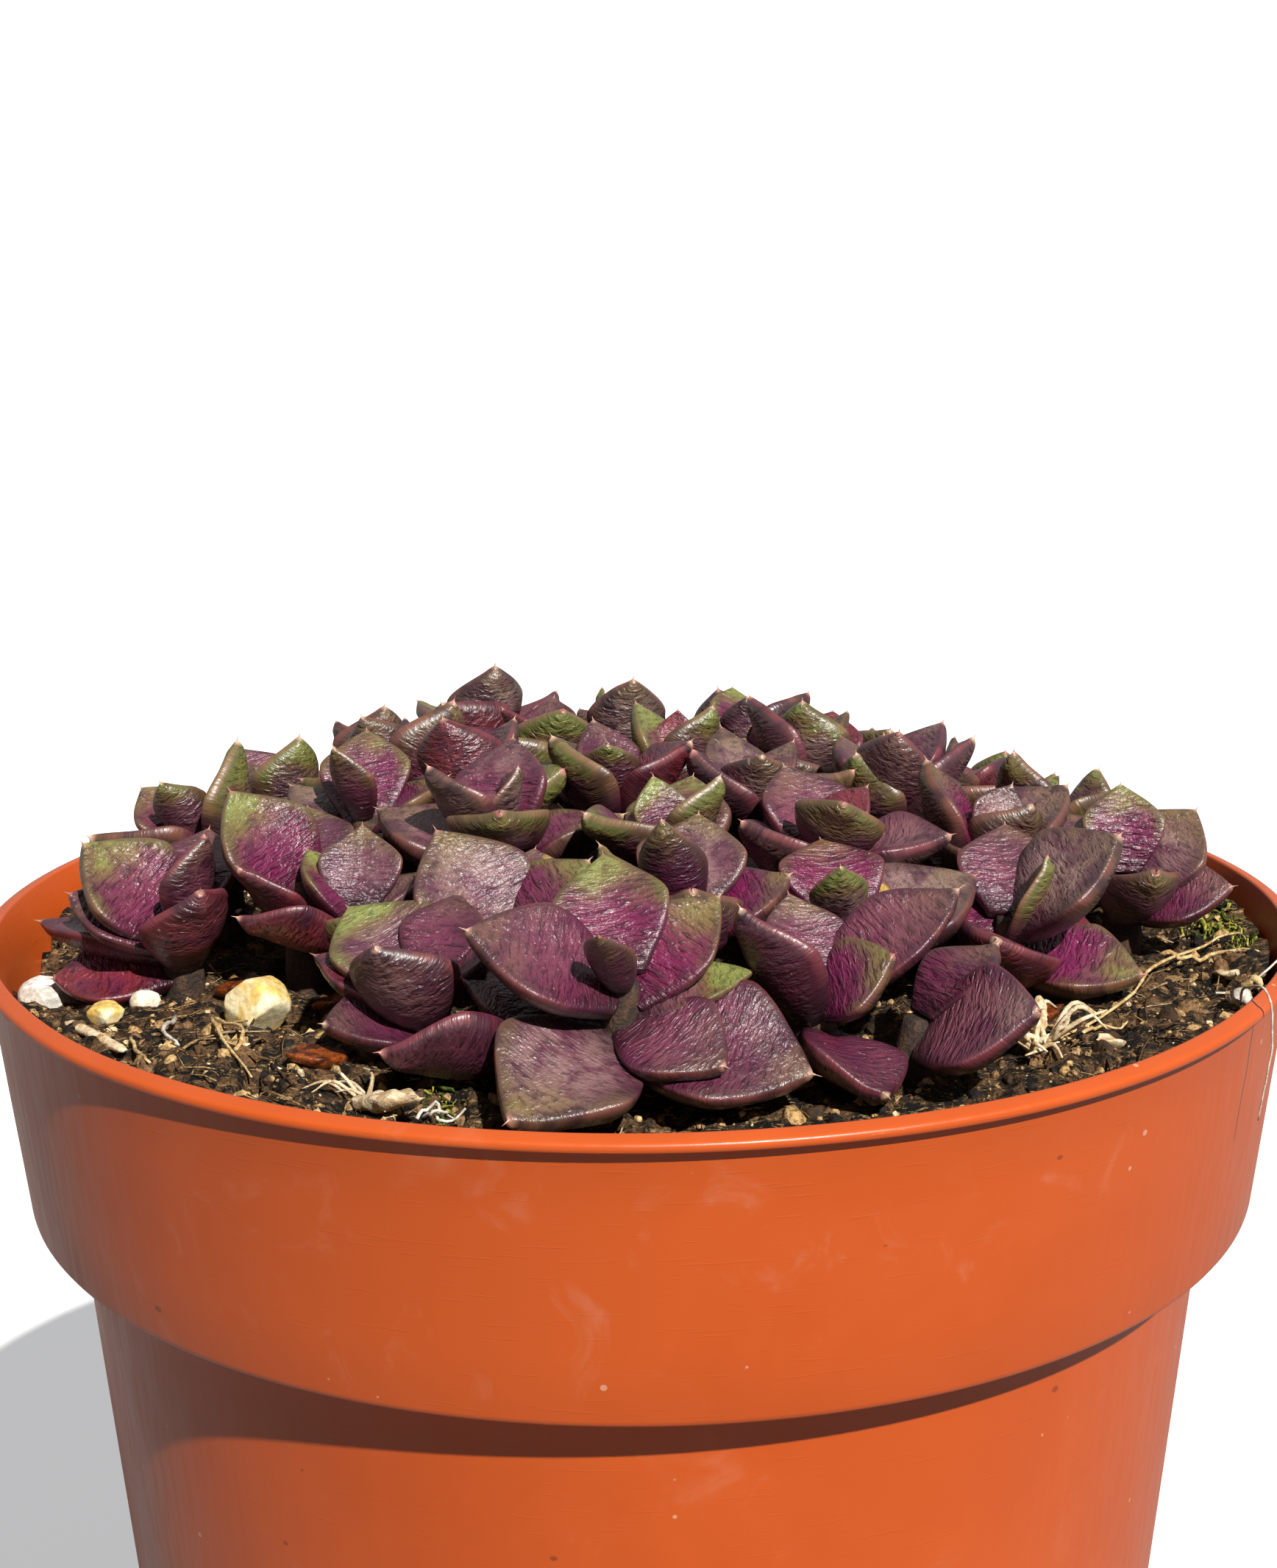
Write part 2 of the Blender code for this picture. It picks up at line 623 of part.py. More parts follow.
def scatter():
    """What lies on the soil: each thing's name, look, and solids, each as a mesh and a swollen mesh."""

    def pair(shape, place=()):
        return shape(*place), shape(*place, grow=FIT_GAP)

    things = [(name, PEBBLE, [pair(stone_mesh, place)]) for name, *place in STONES]
    things += [(name, DRY_LEAF, [pair(lying_leaf_mesh, place)]) for name, *place in FALLEN_LEAVES]
    blades = [pair(lying_leaf_mesh, place) for place in TUFT]
    things.append(("straw_tuft", STRAW, [pair(stone_mesh, TUFT_KNOT), *blades]))
    things.append(("husk", STRAW, [pair(lying_leaf_mesh, HUSK)]))
    things.append(("straw", STRAW, [pair(straw_mesh)]))
    return things


def tree_of(points, faces):
    corners = [(f[0], f[i], f[i + 1]) for f in faces for i in range(1, len(f) - 1)]
    return BVHTree.FromPolygons([Vector(p) for p in points], corners)


def crown_axis(crown):
    """A rosette's axis, which leans outward the nearer it stands to the edge of the mat."""
    distance = math.hypot(crown.x, crown.y)
    lean = crown.lean
    if lean is None:
        lean = EDGE_LEAN * min(distance / MAT_RADIUS, 1.0)
    outward = Vector((crown.x, crown.y, 0)).normalized()
    angle = math.radians(lean)
    return outward * math.sin(angle) + UP * math.cos(angle)


def crown_neck(crown):
    """Where the leafy part of a rosette's stem begins."""
    share = min(math.hypot(crown.x, crown.y) / MAT_RADIUS, 1.0)
    height = crown.neck or soil_height(crown.x, crown.y) + NECK + DOME_RISE * (1 - share**2) + crown.lift
    return Vector((crown.x, crown.y, height))


def leafy_length(crown):
    """How much of a stem carries leaves, less where they are few."""
    count = crown.leaves if isinstance(crown.leaves, int) else len(crown.leaves)
    return LEAFY_LENGTH * min(count / FULL_CROWN, 1)


def stem_mesh(crown):
    """A stem from its hole in the soil to the rosette's heart."""
    axis, neck = crown_axis(crown), crown_neck(crown)
    foot = Vector((crown.x, crown.y, soil_height(crown.x, crown.y) - STEM_ROOT))
    heart = neck + axis * leafy_length(crown)
    stations = ((foot, UP, 1.0), (neck, UP, 1.0), (heart, axis, 0.6))
    points = []
    for centre, direction, size in stations:
        turn = UP.rotation_difference(direction)
        for s in range(STEM_SIDES):
            angle = 2 * math.pi * s / STEM_SIDES
            spoke = turn @ Vector((math.cos(angle), math.sin(angle), 0))
            points.append(centre + spoke * STEM_RADIUS * size)
    return points, ring_faces(len(stations), STEM_SIDES)


def grown_leaves(crown, rng):
    """The leaves of a rosette: a golden angle apart, and steeper and smaller towards its heart."""
    if not isinstance(crown.leaves, int):
        return crown.leaves
    leaves = []
    for k, (rise, length, width) in enumerate(LEAF_ORDER[-crown.leaves :]):
        leaves.append(
            Leaf(
                crown.turn + GOLDEN_ANGLE * k + rng.uniform(-9, 9),
                rise + rng.uniform(-5, 7),
                LEAF_LENGTH * length * crown.size * rng.uniform(0.92, 1.08),
                LEAF_WIDTH * width * crown.size * rng.uniform(0.9, 1.08),
                rng.uniform(-14, 14),
                rng.uniform(-0.14, 0.06),
                rng.uniform(0.08, 0.2),
            )
        )
    return leaves


def bends():
    """What a leaf tries in turn, the least first: more rise, more bearing, and less size."""
    tries = [
        (rise, bearing, size)
        for rise in (0, 6, -6, 12, 20, -12, 30)
        for bearing in (0, 8, -8, 16, -16)
        for size in (1.0, 0.92, 0.84, 0.72)
    ]
    return sorted(tries, key=lambda t: abs(t[0]) / 10 + abs(t[1]) / 9 + (1 - t[2]) * 12)


def settled(leaf, root, axis, strangers, siblings):
    """The leaf bent by the least that keeps it clear of other pieces and of its rosette's lower leaves."""
    for rise, bearing, size in bends():
        tried = leaf._replace(
            rise=leaf.rise + rise,
            bearing=leaf.bearing + bearing,
            length=leaf.length * size,
            width=leaf.width * size,
        )
        swollen = tree_of(*leaf_mesh(tried, root, axis, grow=FIT_GAP))
        if any(swollen.overlap(other) for other in strangers):
            continue
        core = tried._replace(width=tried.width * CORE_SHARE, length=tried.length * 0.95)
        points, faces = leaf_mesh(core, root, axis)
        blade = tree_of(points, [f for f in faces if 0 not in f])
        if not any(blade.overlap(other) for other in siblings):
            return tried, blade, tree_of(*leaf_mesh(tried, root, axis))
    return None


def grown_mat(obstacles):
    """Each rosette with its leaves and their roots, clear of the obstacles and of the rosettes before it."""
    rng = random.Random(SEED)
    leaf_trees = []
    mat = []
    for crown in CROWNS:
        axis, neck = crown_axis(crown), crown_neck(crown)
        stems = [tree_of(*stem_mesh(other)) for other in CROWNS if other is not crown]
        strangers = obstacles + stems + leaf_trees
        siblings, own, placed = [], [], []
        leaves = grown_leaves(crown, rng)
        for k, leaf in enumerate(leaves):
            root = neck + axis * leafy_length(crown) * (k + 0.5) / len(leaves)
            found = settled(leaf, root, axis, strangers, siblings)
            if found:
                placed.append((found[0], root))
                siblings.append(found[1])
                own.append(found[2])
        leaf_trees += own
        mat.append((crown, axis, placed))
    return mat


def keep_main_body(made):
    """Drops loose scraps, and the walls of any hollow that joining the leaves has sealed."""
    shape = bmesh.new()
    shape.from_mesh(made.data)
    left = set(shape.verts)
    bodies = []
    while left:
        body, edge = set(), [left.pop()]
        while edge:
            point = edge.pop()
            body.add(point)
            near = {e.other_vert(point) for e in point.link_edges} & left
            left -= near
            edge += near
        bodies.append(body)
    bodies.sort(key=len)
    for body in bodies[:-1]:
        bmesh.ops.delete(shape, geom=list(body), context="VERTS")
    shape.to_mesh(made.data)
    shape.free()


def flesh_look(index):
    """Purple flesh, with more olive in it on some rosettes than on others."""
    olive = (index * 3 % 5) / 8
    colour = [purple + (green - purple) * olive for purple, green in zip(PURPLE_FLESH, OLIVE_FLESH)]
    return colour, FLESH_ROUGHNESS


def plant(mat):
    """Fuses each rosette's leaves to its stem."""
    for index, (crown, axis, placed) in enumerate(mat):
        stem = make_object(crown.name, *stem_mesh(crown), flesh_look(index))
        leaves = [make_object("leaf", *leaf_mesh(leaf, root, axis)) for leaf, root in placed]
        combine(stem, leaves, "UNION")
        keep_main_body(stem)


def tree_of_object(made):
    points = [v.co / MM for v in made.data.vertices]
    return tree_of(points, [tuple(p.vertices) for p in made.data.polygons])


def main():
    for leftover in list(bpy.data.objects):
        bpy.data.objects.remove(leftover)
    pot = make_pot()
    lying = scatter()
    for name, look, blades in lying:
        first, *others = [make_object(name, *mesh, look) for mesh, _ in blades]
        if others:
            combine(first, others, "UNION")
    soil = make_soil([swollen for _, _, blades in lying for _, swollen in blades])
    obstacles = [tree_of_object(pot), tree_of_object(soil)]
    obstacles += [tree_of(*mesh) for _, _, blades in lying for mesh, _ in blades]
    plant(grown_mat(obstacles))


if __name__ == "__main__":
    main()
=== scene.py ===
"""The potted rosette mat in full: fine leaves, soil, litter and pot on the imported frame, and the studio.

Shapes are laid out in millimetres, with +Z up, the pot's axis on Z, its foot at Z = 0 and the front at -Y.
Bearings run in degrees from the front (-Y) towards the right (+X).
"""

import json
import math
import random
from typing import NamedTuple

import bmesh
import bpy
import numpy as np
from mathutils import Matrix, Quaternion, Vector, noise
from mathutils.bvhtree import BVHTree

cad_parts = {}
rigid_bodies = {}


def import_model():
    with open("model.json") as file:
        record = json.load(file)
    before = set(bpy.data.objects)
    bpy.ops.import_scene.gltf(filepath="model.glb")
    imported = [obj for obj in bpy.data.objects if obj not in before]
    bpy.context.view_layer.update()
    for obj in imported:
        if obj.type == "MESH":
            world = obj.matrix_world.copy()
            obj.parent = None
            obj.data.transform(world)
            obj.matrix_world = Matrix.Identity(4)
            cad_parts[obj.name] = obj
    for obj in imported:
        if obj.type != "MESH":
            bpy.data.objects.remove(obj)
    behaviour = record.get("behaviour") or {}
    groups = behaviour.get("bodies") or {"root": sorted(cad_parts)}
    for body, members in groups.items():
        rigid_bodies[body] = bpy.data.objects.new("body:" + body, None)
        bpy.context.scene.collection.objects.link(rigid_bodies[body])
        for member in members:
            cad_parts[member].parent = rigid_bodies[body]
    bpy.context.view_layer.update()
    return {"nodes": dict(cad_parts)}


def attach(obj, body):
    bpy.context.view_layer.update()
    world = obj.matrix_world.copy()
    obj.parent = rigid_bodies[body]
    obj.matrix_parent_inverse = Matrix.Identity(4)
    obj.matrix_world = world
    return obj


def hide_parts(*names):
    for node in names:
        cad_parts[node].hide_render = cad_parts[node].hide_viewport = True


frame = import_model()

MM = 0.001
UP = Vector((0, 0, 1))
FIT_GAP = 0.3  # left between pieces of the CAD that touch
WELD = 0.00001  # metres within which the frame's split corners are one point

# The pot
POT_HEIGHT = 92.0
RIM_RADIUS = 52.5
LIP_HEIGHT = 1.3
COLLAR_HEIGHT = 20.9
COLLAR_TOP_RADIUS = 51.4
COLLAR_FOOT_RADIUS = 49.6
BODY_TOP_RADIUS = 46.2
FOOT_RADIUS = 39.9
WALL = 1.0
FLOOR_THICKNESS = 1.4
FOOT_RING_WIDTH = 5.0
FOOT_RECESS = 1.6
FLOOR_TOP = FOOT_RECESS + FLOOR_THICKNESS
SHOULDER = POT_HEIGHT - COLLAR_HEIGHT
DRAIN_HOLES = 8
DRAIN_RADIUS = 3.0
DRAIN_CIRCLE = 24.0
DRAIN_SIDES = 32
FINE_LIP = 1.0
LIP_SLOPE = 0.35
LIP_INSET = 0.15
LIP_FILLET = 0.35  # by which the collar swells under the lip
FLARE_DEPTH = 3.0  # of the inner wall's widening under the rim
FRONT_DROOP = 0.6  # by which the soft rim hangs lower at the front
RIM_WOBBLE = 0.12
POT_SIDES = 252
POT_STEP = 4.0  # length of the pot's faces along its walls

# The soil
SOIL_LEVEL = 88.0
BALL_GAP = 0.45
SOIL_BUMP = 0.9
SOIL_BUMP_SPAN = 9.0
SOIL_HEAPS = (
    (-27, -33, 11.0, 11.0, 1.8),
    (40, -22, 12.5, 12.5, 1.6),
    (-47, -6, 7.0, 7.0, -3.0),
    (3, -46, 21.0, 11.5, -2.2),
)
CLOD_RISE, CLOD_SPAN = 0.85, 2.4
GRIT_RISE, GRIT_SPAN = 0.3, 1.3
PIT_DEPTH, PIT_SPAN = 1.7, 3.1
SOIL_GRID = 245
SOIL_RIM_GAP = 0.1
BED_GRID = 120
BED_RIM_GAP = 1.0
COVERED_SHARE = 0.12  # of the crumbs on open soil, that lie under the mat
MOSS = ((48.5, 4.0, 4.2), (47.5, -3.0, 3.0), (47.5, -9.0, 1.8), (-13, -36.5, 1.0))  # x, y and reach
# Place, reach across and along, and rise of the heaps and hollows that only the fine soil has
FINE_HEAPS = (
    (49.5, -9, 5.0, 15.0, 2.6),
    (50, 5, 4.0, 5.0, 1.0),
    (-49.4, -1.5, 2.4, 2.6, -3.5),
    (-27.8, -22.0, 5.0, 5.0, -0.8),
    (2, -45, 16.0, 6.0, -0.8),
)

# The plants
STEM_RADIUS = 1.6
STEM_SIDES = 7
STEM_ROOT = 6.0
NECK = 0.9
LEAFY_LENGTH = 4.6
FULL_CROWN = 6
DOME_RISE = 7.0
MAT_RADIUS = 42.0
EDGE_LEAN = 30.0
GOLDEN_ANGLE = 137.508
LEAF_LENGTH = 11.5
LEAF_WIDTH = 10.0
SEED = 11

# The leaf, with lengths along it against its length and the others against its width
POINT_END = 1.05  # of the short point past the tip
POINT_START = 0.93
POINT_RADIUS = 0.22  # mm
WIDEST = 0.56
ROOT_WIDTH = 0.4
ROOT_CURVE = 1.1
TIP_CURVE = 1.8
THICKNESS = 0.34
UPPER_SHARE = 0.3  # of the thickness that stands above the margins
MARGIN_ROUND = 0.8
KEEL_ROUND = 0.9
ROOT_REACH = 0.4  # mm of a leaf's root from the stem's axis
CORE_SHARE = 0.6  # of a leaf's width, that the leaves of one rosette keep clear of each other
LEAF_STATIONS = (0.36, 0.74)
LEAF_ANGLES = (0.0, 90.0, 180.0, 236.0, 304.0)

# The leaves in full
TIP_STATIONS = 9
ROOT_STATION = 0.02
FINE_TIP_CURVE = 1.55
FINE_POINT_RADIUS = 0.13
WRINKLE_REACH, WRINKLE_STEP = 1.5, 0.62  # across a leaf and from one wrinkle to the next
WRINKLE_RISE = 0.045
BEAD_RISE = 0.025  # of the thin line along the margin
KEEL_RISE = 0.035  # against the leaf's width
LEAF_WAVE = 0.25
MARGIN_WAVE = 0.2
NEAR_DETAIL = (44, 33)  # stations along a leaf and sides round it, on the rosettes whose leaves are listed
FAR_DETAIL = (24, 22)
LITTER_DETAIL = (30, 24)
SEEDS_A_CROWN = 9
STEM_DETAIL = (14, 14)  # rings along a stem and sides round it


class Leaf(NamedTuple):
    """One leaf: its bearing round the rosette, and its rise above the rosette's own plane, in degrees."""

    bearing: float
    rise: float
    length: float
    width: float
    roll: float = 0.0
    arch: float = -0.06
    dish: float = 0.14


class Crown(NamedTuple):
    """One rosette on its stem, which stands at x, y. leaves is a count, or a list of its leaves."""

    name: str
    x: float
    y: float
    turn: float = 0.0
    size: float = 1.0
    leaves: int | tuple = 7
    lean: float | None = None
    lift: float = 0.0
    neck: float | None = None


FRONT_MIDDLE = (
    Leaf(327, -4, 12.5, 10.5, -20),
    Leaf(68, -3, 13.0, 10.5, 32),
    Leaf(44, -1, 9.0, 7.5, 24),
    Leaf(98, 20, 9.0, 4.6, 20),
    Leaf(122, 42, 10.0, 6.6, 30),
    Leaf(284, 31, 11.5, 8.6, -35),
    Leaf(345, 48, 7.5, 3.6, 0),
    Leaf(191, 46, 10.0, 8.0, -10),
)
LOW_LEFT = (
    Leaf(298, 12, 10.5, 8.2, 35),
    Leaf(266, 47, 5.5, 3.6, -10),
    Leaf(200, 40, 5.5, 5.0, 0),
)
FRONT_RIGHT = (
    Leaf(40, -4, 10.5, 8.0, -15),
    Leaf(289, 54, 10.0, 7.5, 15),
    Leaf(62, 43, 6.8, 6.6, 45),
    Leaf(96, 40, 12.0, 7.0, 30),
    Leaf(200, 52, 7.0, 6.0, 0),
)
LOW_RIGHT = (
    Leaf(42, 28, 10.5, 8.5, 42),
    Leaf(292, 24, 9.0, 6.0, -20),
    Leaf(115, 40, 7.5, 6.5, 0),
)
FRONT_LEFT = (
    Leaf(305, 20, 8.0, 6.5, -20),
    Leaf(330, 54, 9.0, 8.0, 12),
    Leaf(251, 25, 9.0, 6.0, -10),
    Leaf(70, 40, 6.0, 4.5, 20),
    Leaf(226, 30, 9.5, 8.5, -20),
    Leaf(160, 45, 7.0, 6.5, 0),
)
MID_LEFT = (
    Leaf(5, 48, 6.0, 5.5, 0),
    Leaf(285, 24, 9.5, 6.0, 30),
    Leaf(100, 45, 7.0, 6.0, 0),
    Leaf(235, 50, 7.0, 6.0, 0),
    Leaf(180, 55, 7.0, 6.5, 0),
)
CENTRE_LEFT = (
    Leaf(20, 22, 7.0, 6.0, 0),
    Leaf(254, 58, 11.5, 10.5, -25),
    Leaf(168, 50, 9.5, 8.5, -10),
    Leaf(100, 40, 8.0, 7.0, 20),
)
MIDDLE_FRONT = (
    Leaf(5, 60, 7.5, 8.0, 0),
    Leaf(250, 52, 9.5, 6.5, 30),
    Leaf(95, 35, 8.5, 7.0, 20),
    Leaf(330, 70, 9.5, 5.0, 20),
    Leaf(170, 50, 8.5, 8.0, 0),
)
INNER_RIGHT = (
    Leaf(320, 16, 7.5, 6.0, 0),
    Leaf(110, 28, 11.5, 10.0, 15),
    Leaf(253, 34, 9.8, 7.5, -20),
    Leaf(348, 61, 7.0, 4.4, 20),
    Leaf(190, 38, 8.0, 8.0, 0),
)
LEFT_EDGE = (
    Leaf(292, 2, 9.5, 7.0, -30),
    Leaf(26, 54, 9.0, 7.5, 20),
    Leaf(258, 14, 11.5, 6.5, 0),
    Leaf(277, 32, 9.0, 7.0, -30),
    Leaf(272, 50, 10.0, 9.0, -35),
    Leaf(60, 74, 8.0, 6.0, 10),
    Leaf(170, 44, 8.5, 7.5, 0),
)
LEFT_INNER = (
    Leaf(15, 46, 7.0, 6.0, 0),
    Leaf(320, 26, 8.0, 6.0, -15),
    Leaf(60, 34, 7.5, 6.5, 20),
    Leaf(262, 54, 10.0, 8.5, -35),
    Leaf(110, 48, 8.0, 7.0, 20),
    Leaf(185, 48, 8.0, 7.5, 0),
)
LEFT_RING = (
    Leaf(20, 38, 7.0, 6.0, 0),
    Leaf(300, 18, 9.0, 6.5, -10),
    Leaf(240, 34, 8.5, 7.0, 0),
    Leaf(100, 40, 8.0, 6.5, 0),
    Leaf(185, 48, 9.5, 7.5, 0),
    Leaf(320, 68, 7.0, 4.5, 0),
)
RIGHT_FRONT = (
    Leaf(329, 40, 9.0, 8.0, -20),
    Leaf(66, 4, 9.5, 8.0, 20),
    Leaf(44, 72, 8.0, 4.5, 30),
    Leaf(238, 40, 9.0, 7.5, -15),
    Leaf(76, 48, 10.5, 9.5, 30),
    Leaf(175, 50, 8.5, 7.5, 0),
)
RIGHT_EDGE = (
    Leaf(10, 44, 8.0, 7.0, 0),
    Leaf(64, 20, 8.5, 7.0, 35),
    Leaf(110, 48, 9.0, 8.5, 25),
    Leaf(235, 42, 8.5, 7.5, 0),
    Leaf(175, 60, 7.5, 6.5, 0),
)

# From the front of the mat to its back
CROWNS = (
    Crown("front_middle", -1, -33, leaves=FRONT_MIDDLE, lean=0, neck=90.4),
    Crown("low_left", -7.5, -32.5, leaves=LOW_LEFT, lean=0, neck=89.6),
    Crown("front_right", 12.3, -30, leaves=FRONT_RIGHT, lean=0, neck=89.8),
    Crown("low_right", 19, -32, leaves=LOW_RIGHT, lean=0, neck=89.6),
    Crown("front_left", -14.5, -29, leaves=FRONT_LEFT, lean=0, neck=89.4),
    Crown("centre_left", -9.5, -22, leaves=CENTRE_LEFT, lean=0, neck=91.8),
    Crown("mid_left", -21, -15.5, leaves=MID_LEFT, lean=0, neck=91),
    Crown("middle_front", 3.5, -22, leaves=MIDDLE_FRONT, lean=0, neck=92.5),
    Crown("inner_right", 15, -20.5, leaves=INNER_RIGHT, lean=0, neck=91.6),
    Crown("left_edge", -35, -13, leaves=LEFT_EDGE, lean=0, neck=89.2),
    Crown("right_front", 27.5, -18, leaves=RIGHT_FRONT, lean=0, neck=90.3),
    Crown("left_inner", -25.5, -12.5, leaves=LEFT_INNER, lean=0, neck=92),
    Crown("right_edge", 38.5, -6, leaves=RIGHT_EDGE, lean=0, neck=91),
    Crown("left_ring", -22, -2, leaves=LEFT_RING, lean=0, neck=94.5),
    Crown("heart_left", -10.5, -9.5, 330, 0.85),
    Crown("heart_right", 2, -11, 110, 0.85, lift=-1),
    Crown("right_inner", 14, -9, 25, 0.85, lift=-1),
    Crown("right_ring", 26, -6, 60, 0.85),
    Crown("left_back", -34.5, 2, 265, 0.9, lift=1),
    Crown("middle_left", -13, 2, 150, 0.85),
    Crown("middle", -2, 3, 250, 0.85, lift=-1),
    Crown("middle_right", 9.5, 3, 20, 0.85, lift=-1),
    Crown("right_middle", 20.5, 5, 160, 0.85),
    Crown("right_back", 32.5, 6, 110, 0.85, lift=-0.5),
    Crown("far_left", -31, 15, 235, 0.85, lift=0.5),
    Crown("back_left", -20, 12, 10, 0.85, lift=1),
    Crown("back_left_inner", -8, 14, 190, 0.85, lift=1),
    Crown("back_middle", 3, 14, 70, 0.85, lift=-1),
    Crown("back_right_inner", 15, 16, 345, 0.85),
    Crown("back_right", 26.5, 17, 130, 0.85, lift=-0.5),
    Crown("far_right", 37.5, 15, 100, 0.7, lift=-0.5),
    Crown("rear_far_left", -24.5, 26, 205, 0.85, lift=1),
    Crown("rear_left", -13.5, 25, 60, 0.9, lift=2.5),
    Crown("rear_middle", -1.5, 25, 175, 0.85, lift=1),
    Crown("rear_right", 9.5, 27, 245, 0.85, lift=1),
    Crown("rear_far_right", 21.5, 28, 160, 0.85, lift=-0.5),
    Crown("edge_right", 32.5, 25, 135, 0.7),
    Crown("edge_rear_left", -15, 37, 215, 0.85, lift=1.5),
    Crown("edge_rear_middle", -3.5, 37, 195, 0.85, lift=1),
    Crown("edge_rear_right", 9, 38, 150, 0.85, lift=1),
)
HAND_CROWNS = sum(isinstance(crown.leaves, tuple) for crown in CROWNS)

# Leaves of a rosette from the lowest to the youngest: rise, and length and width against a full leaf
LEAF_ORDER = (
    (4, 0.95, 0.95),
    (10, 1.0, 1.0),
    (18, 1.0, 1.02),
    (26, 1.0, 1.02),
    (36, 0.98, 1.0),
    (46, 0.92, 0.92),
    (58, 0.78, 0.8),
    (70, 0.58, 0.55),
)

# Colours of leaves: how green, how magenta, how pale and how red each is, from 0 to 1; the pale share is
# waxy bloom and painted sheen
TONES = {
    "purple": (0.3, 0.55, 0.3, 0.1),
    "deep": (0.28, 0.5, 0.12, 0.1),
    "wine": (0.6, 1.0, 0.12, 0.1),
    "grey": (0.45, 0.25, 0.8, 0.0),
    "olive": (0.95, 0.85, 0.3, 0.03),
    "green": (1.25, 0.35, 0.5, 0.0),
    "red": (0.05, 0.5, 0.15, 0.8),
    "dusk": (0.5, 0.3, 0.3, 0.05),
    "pink": (0.1, 0.6, 0.6, 0.15),
    "dark": (0.0, 0.3, 0.0, 0.25),
}
# Tones of the listed leaves, in the order of each rosette's leaves
HAND_TONES = {
    "front_middle": "grey deep deep green wine deep wine olive",
    "low_left": "dark purple dark",
    "front_right": "dark dark wine purple purple",
    "low_right": "pink dark purple",
    "front_left": "deep purple red dark green deep",
    "mid_left": "olive red grey olive dusk",
    "centre_left": "purple grey pink olive",
    "middle_front": "wine olive wine wine grey",
    "inner_right": "wine grey wine green wine",
    "left_edge": "red red dark deep olive deep deep",
    "left_inner": "deep red deep olive wine dusk",
    "left_ring": "wine wine grey olive olive wine",
    "right_front": "red wine green wine grey purple",
    "right_edge": "wine purple grey wine olive",
}
OTHER_TONES = ("purple", "grey", "pink", "wine", "olive", "olive", "grey", "green", "red", "pink")

# Marks on single leaves: across and along the leaf, its seed, and the mark's colour
MARKS = {(-2.4, 4.9, 73): (0.6, 0.4, 0.08, 1.0), (1.6, 8.3, 47): (0.45, 0.3, 0.09, 1.0)}

# What lies on the soil: name, place, length, width, bearing and rise
FALLEN_LEAVES = (
    ("fallen_leaf_left", -32.6, -14.6, 4.4, 3.4, 80, 10),
    ("fallen_leaf_stone", -24.6, -18.2, 3.6, 2.8, 75, 12),
    ("fallen_leaf_hollow", -19.5, -32.0, 4.4, 3.2, 300, 4),
    ("fallen_leaf_rim", -12.0, -43.5, 4.6, 2.8, 80, 4),
    ("fallen_leaf_front", 0.5, -46.0, 4.2, 2.8, 275, 4),
    ("fallen_leaf_lip", 8.5, -45.0, 3.8, 2.6, 110, 6),
    ("fallen_leaf_low", 18.5, -39.5, 3.6, 2.8, 50, 8),
    ("fallen_leaf_right", 26.0, -25.5, 4.0, 3.6, 100, 10),
)
HUSK = (-19.0, -38.5, 5.2, 2.6, 70, 4)
HUSK_TIP = (-18.2, -37.6)
TUFT_KNOT = (27.5, -30.5)
PAPERY_BITS = (
    (42.7, -16.4, 2.6, 1.9, 40, 15),
    (44.3, -14.3, 2.0, 1.5, 120, 10),
    (34.1, -28.9, 2.4, 2.0, 300, 5),
)
LYING_BED = 0.4
FALLEN_SEED, HUSK_SEED, PAPERY_SEED = 300, 320, 340
CRUMB_SEED, CLOD_SEED, FIBRE_SEED, MOSS_SEED = 5, 7, 3, 4
STONE_CUTS = 16
SOFT_LEVELS = 3


class Strewing(NamedTuple):
    """One kind of small shape strewn over the soil, so many to a square metre. sunk is against its size."""

    name: str
    slot: str
    shape: str
    where: str
    look: str
    density: float
    smallest: float
    largest: float
    lean: float
    sunk: float
    seed: int


STREWN = (
    Strewing("soil_crumbs", "peat_soil", "crumb", "open", "peat_crumbs", 1.1e6, 0.14, 0.8, 3.1, 0.2, 3),
    Strewing("soil_clods", "peat_soil", "clod", "open", "peat_clods", 9e4, 0.4, 1.4, 3.1, 0.45, 21),
    Strewing("soil_fibres", "dry_straw", "fibre", "open", "peat_fibres", 2.6e5, 0.3, 1.6, 0.35, -0.15, 8),
    Strewing("moss_tufts", "peat_soil", "moss_leaf", "moss", "moss", 6e6, 0.5, 1.7, 1.5, -0.2, 12),
)

SCATTER_INPUTS = {
    "Bed": "Geometry",
    "Shape": "Object",
    "Where": "String",
    "Density": "Float",
    "Smallest": "Float",
    "Largest": "Float",
    "Lean": "Float",
    "Sunk": "Float",
    "Seed": "Int",
    "Look": "Material",
}

# Colours of what is strewn: dark, middle, light, and the one that very few have
STREWN_COLOURS = {
    "peat_crumbs": ((0.01, 0.006, 0.004), (0.2, 0.11, 0.05), (0.55, 0.35, 0.15), (0.85, 0.68, 0.42)),
    "peat_clods": ((0.05, 0.025, 0.011), (0.2, 0.105, 0.045), (0.52, 0.32, 0.13), (0.75, 0.56, 0.3)),
    "peat_fibres": ((0.09, 0.045, 0.02), (0.3, 0.17, 0.07), (0.45, 0.3, 0.14), (0.65, 0.52, 0.34)),
    "moss": ((0.05, 0.07, 0.008), (0.17, 0.2, 0.022), (0.36, 0.36, 0.05), (0.4, 0.28, 0.07)),
}

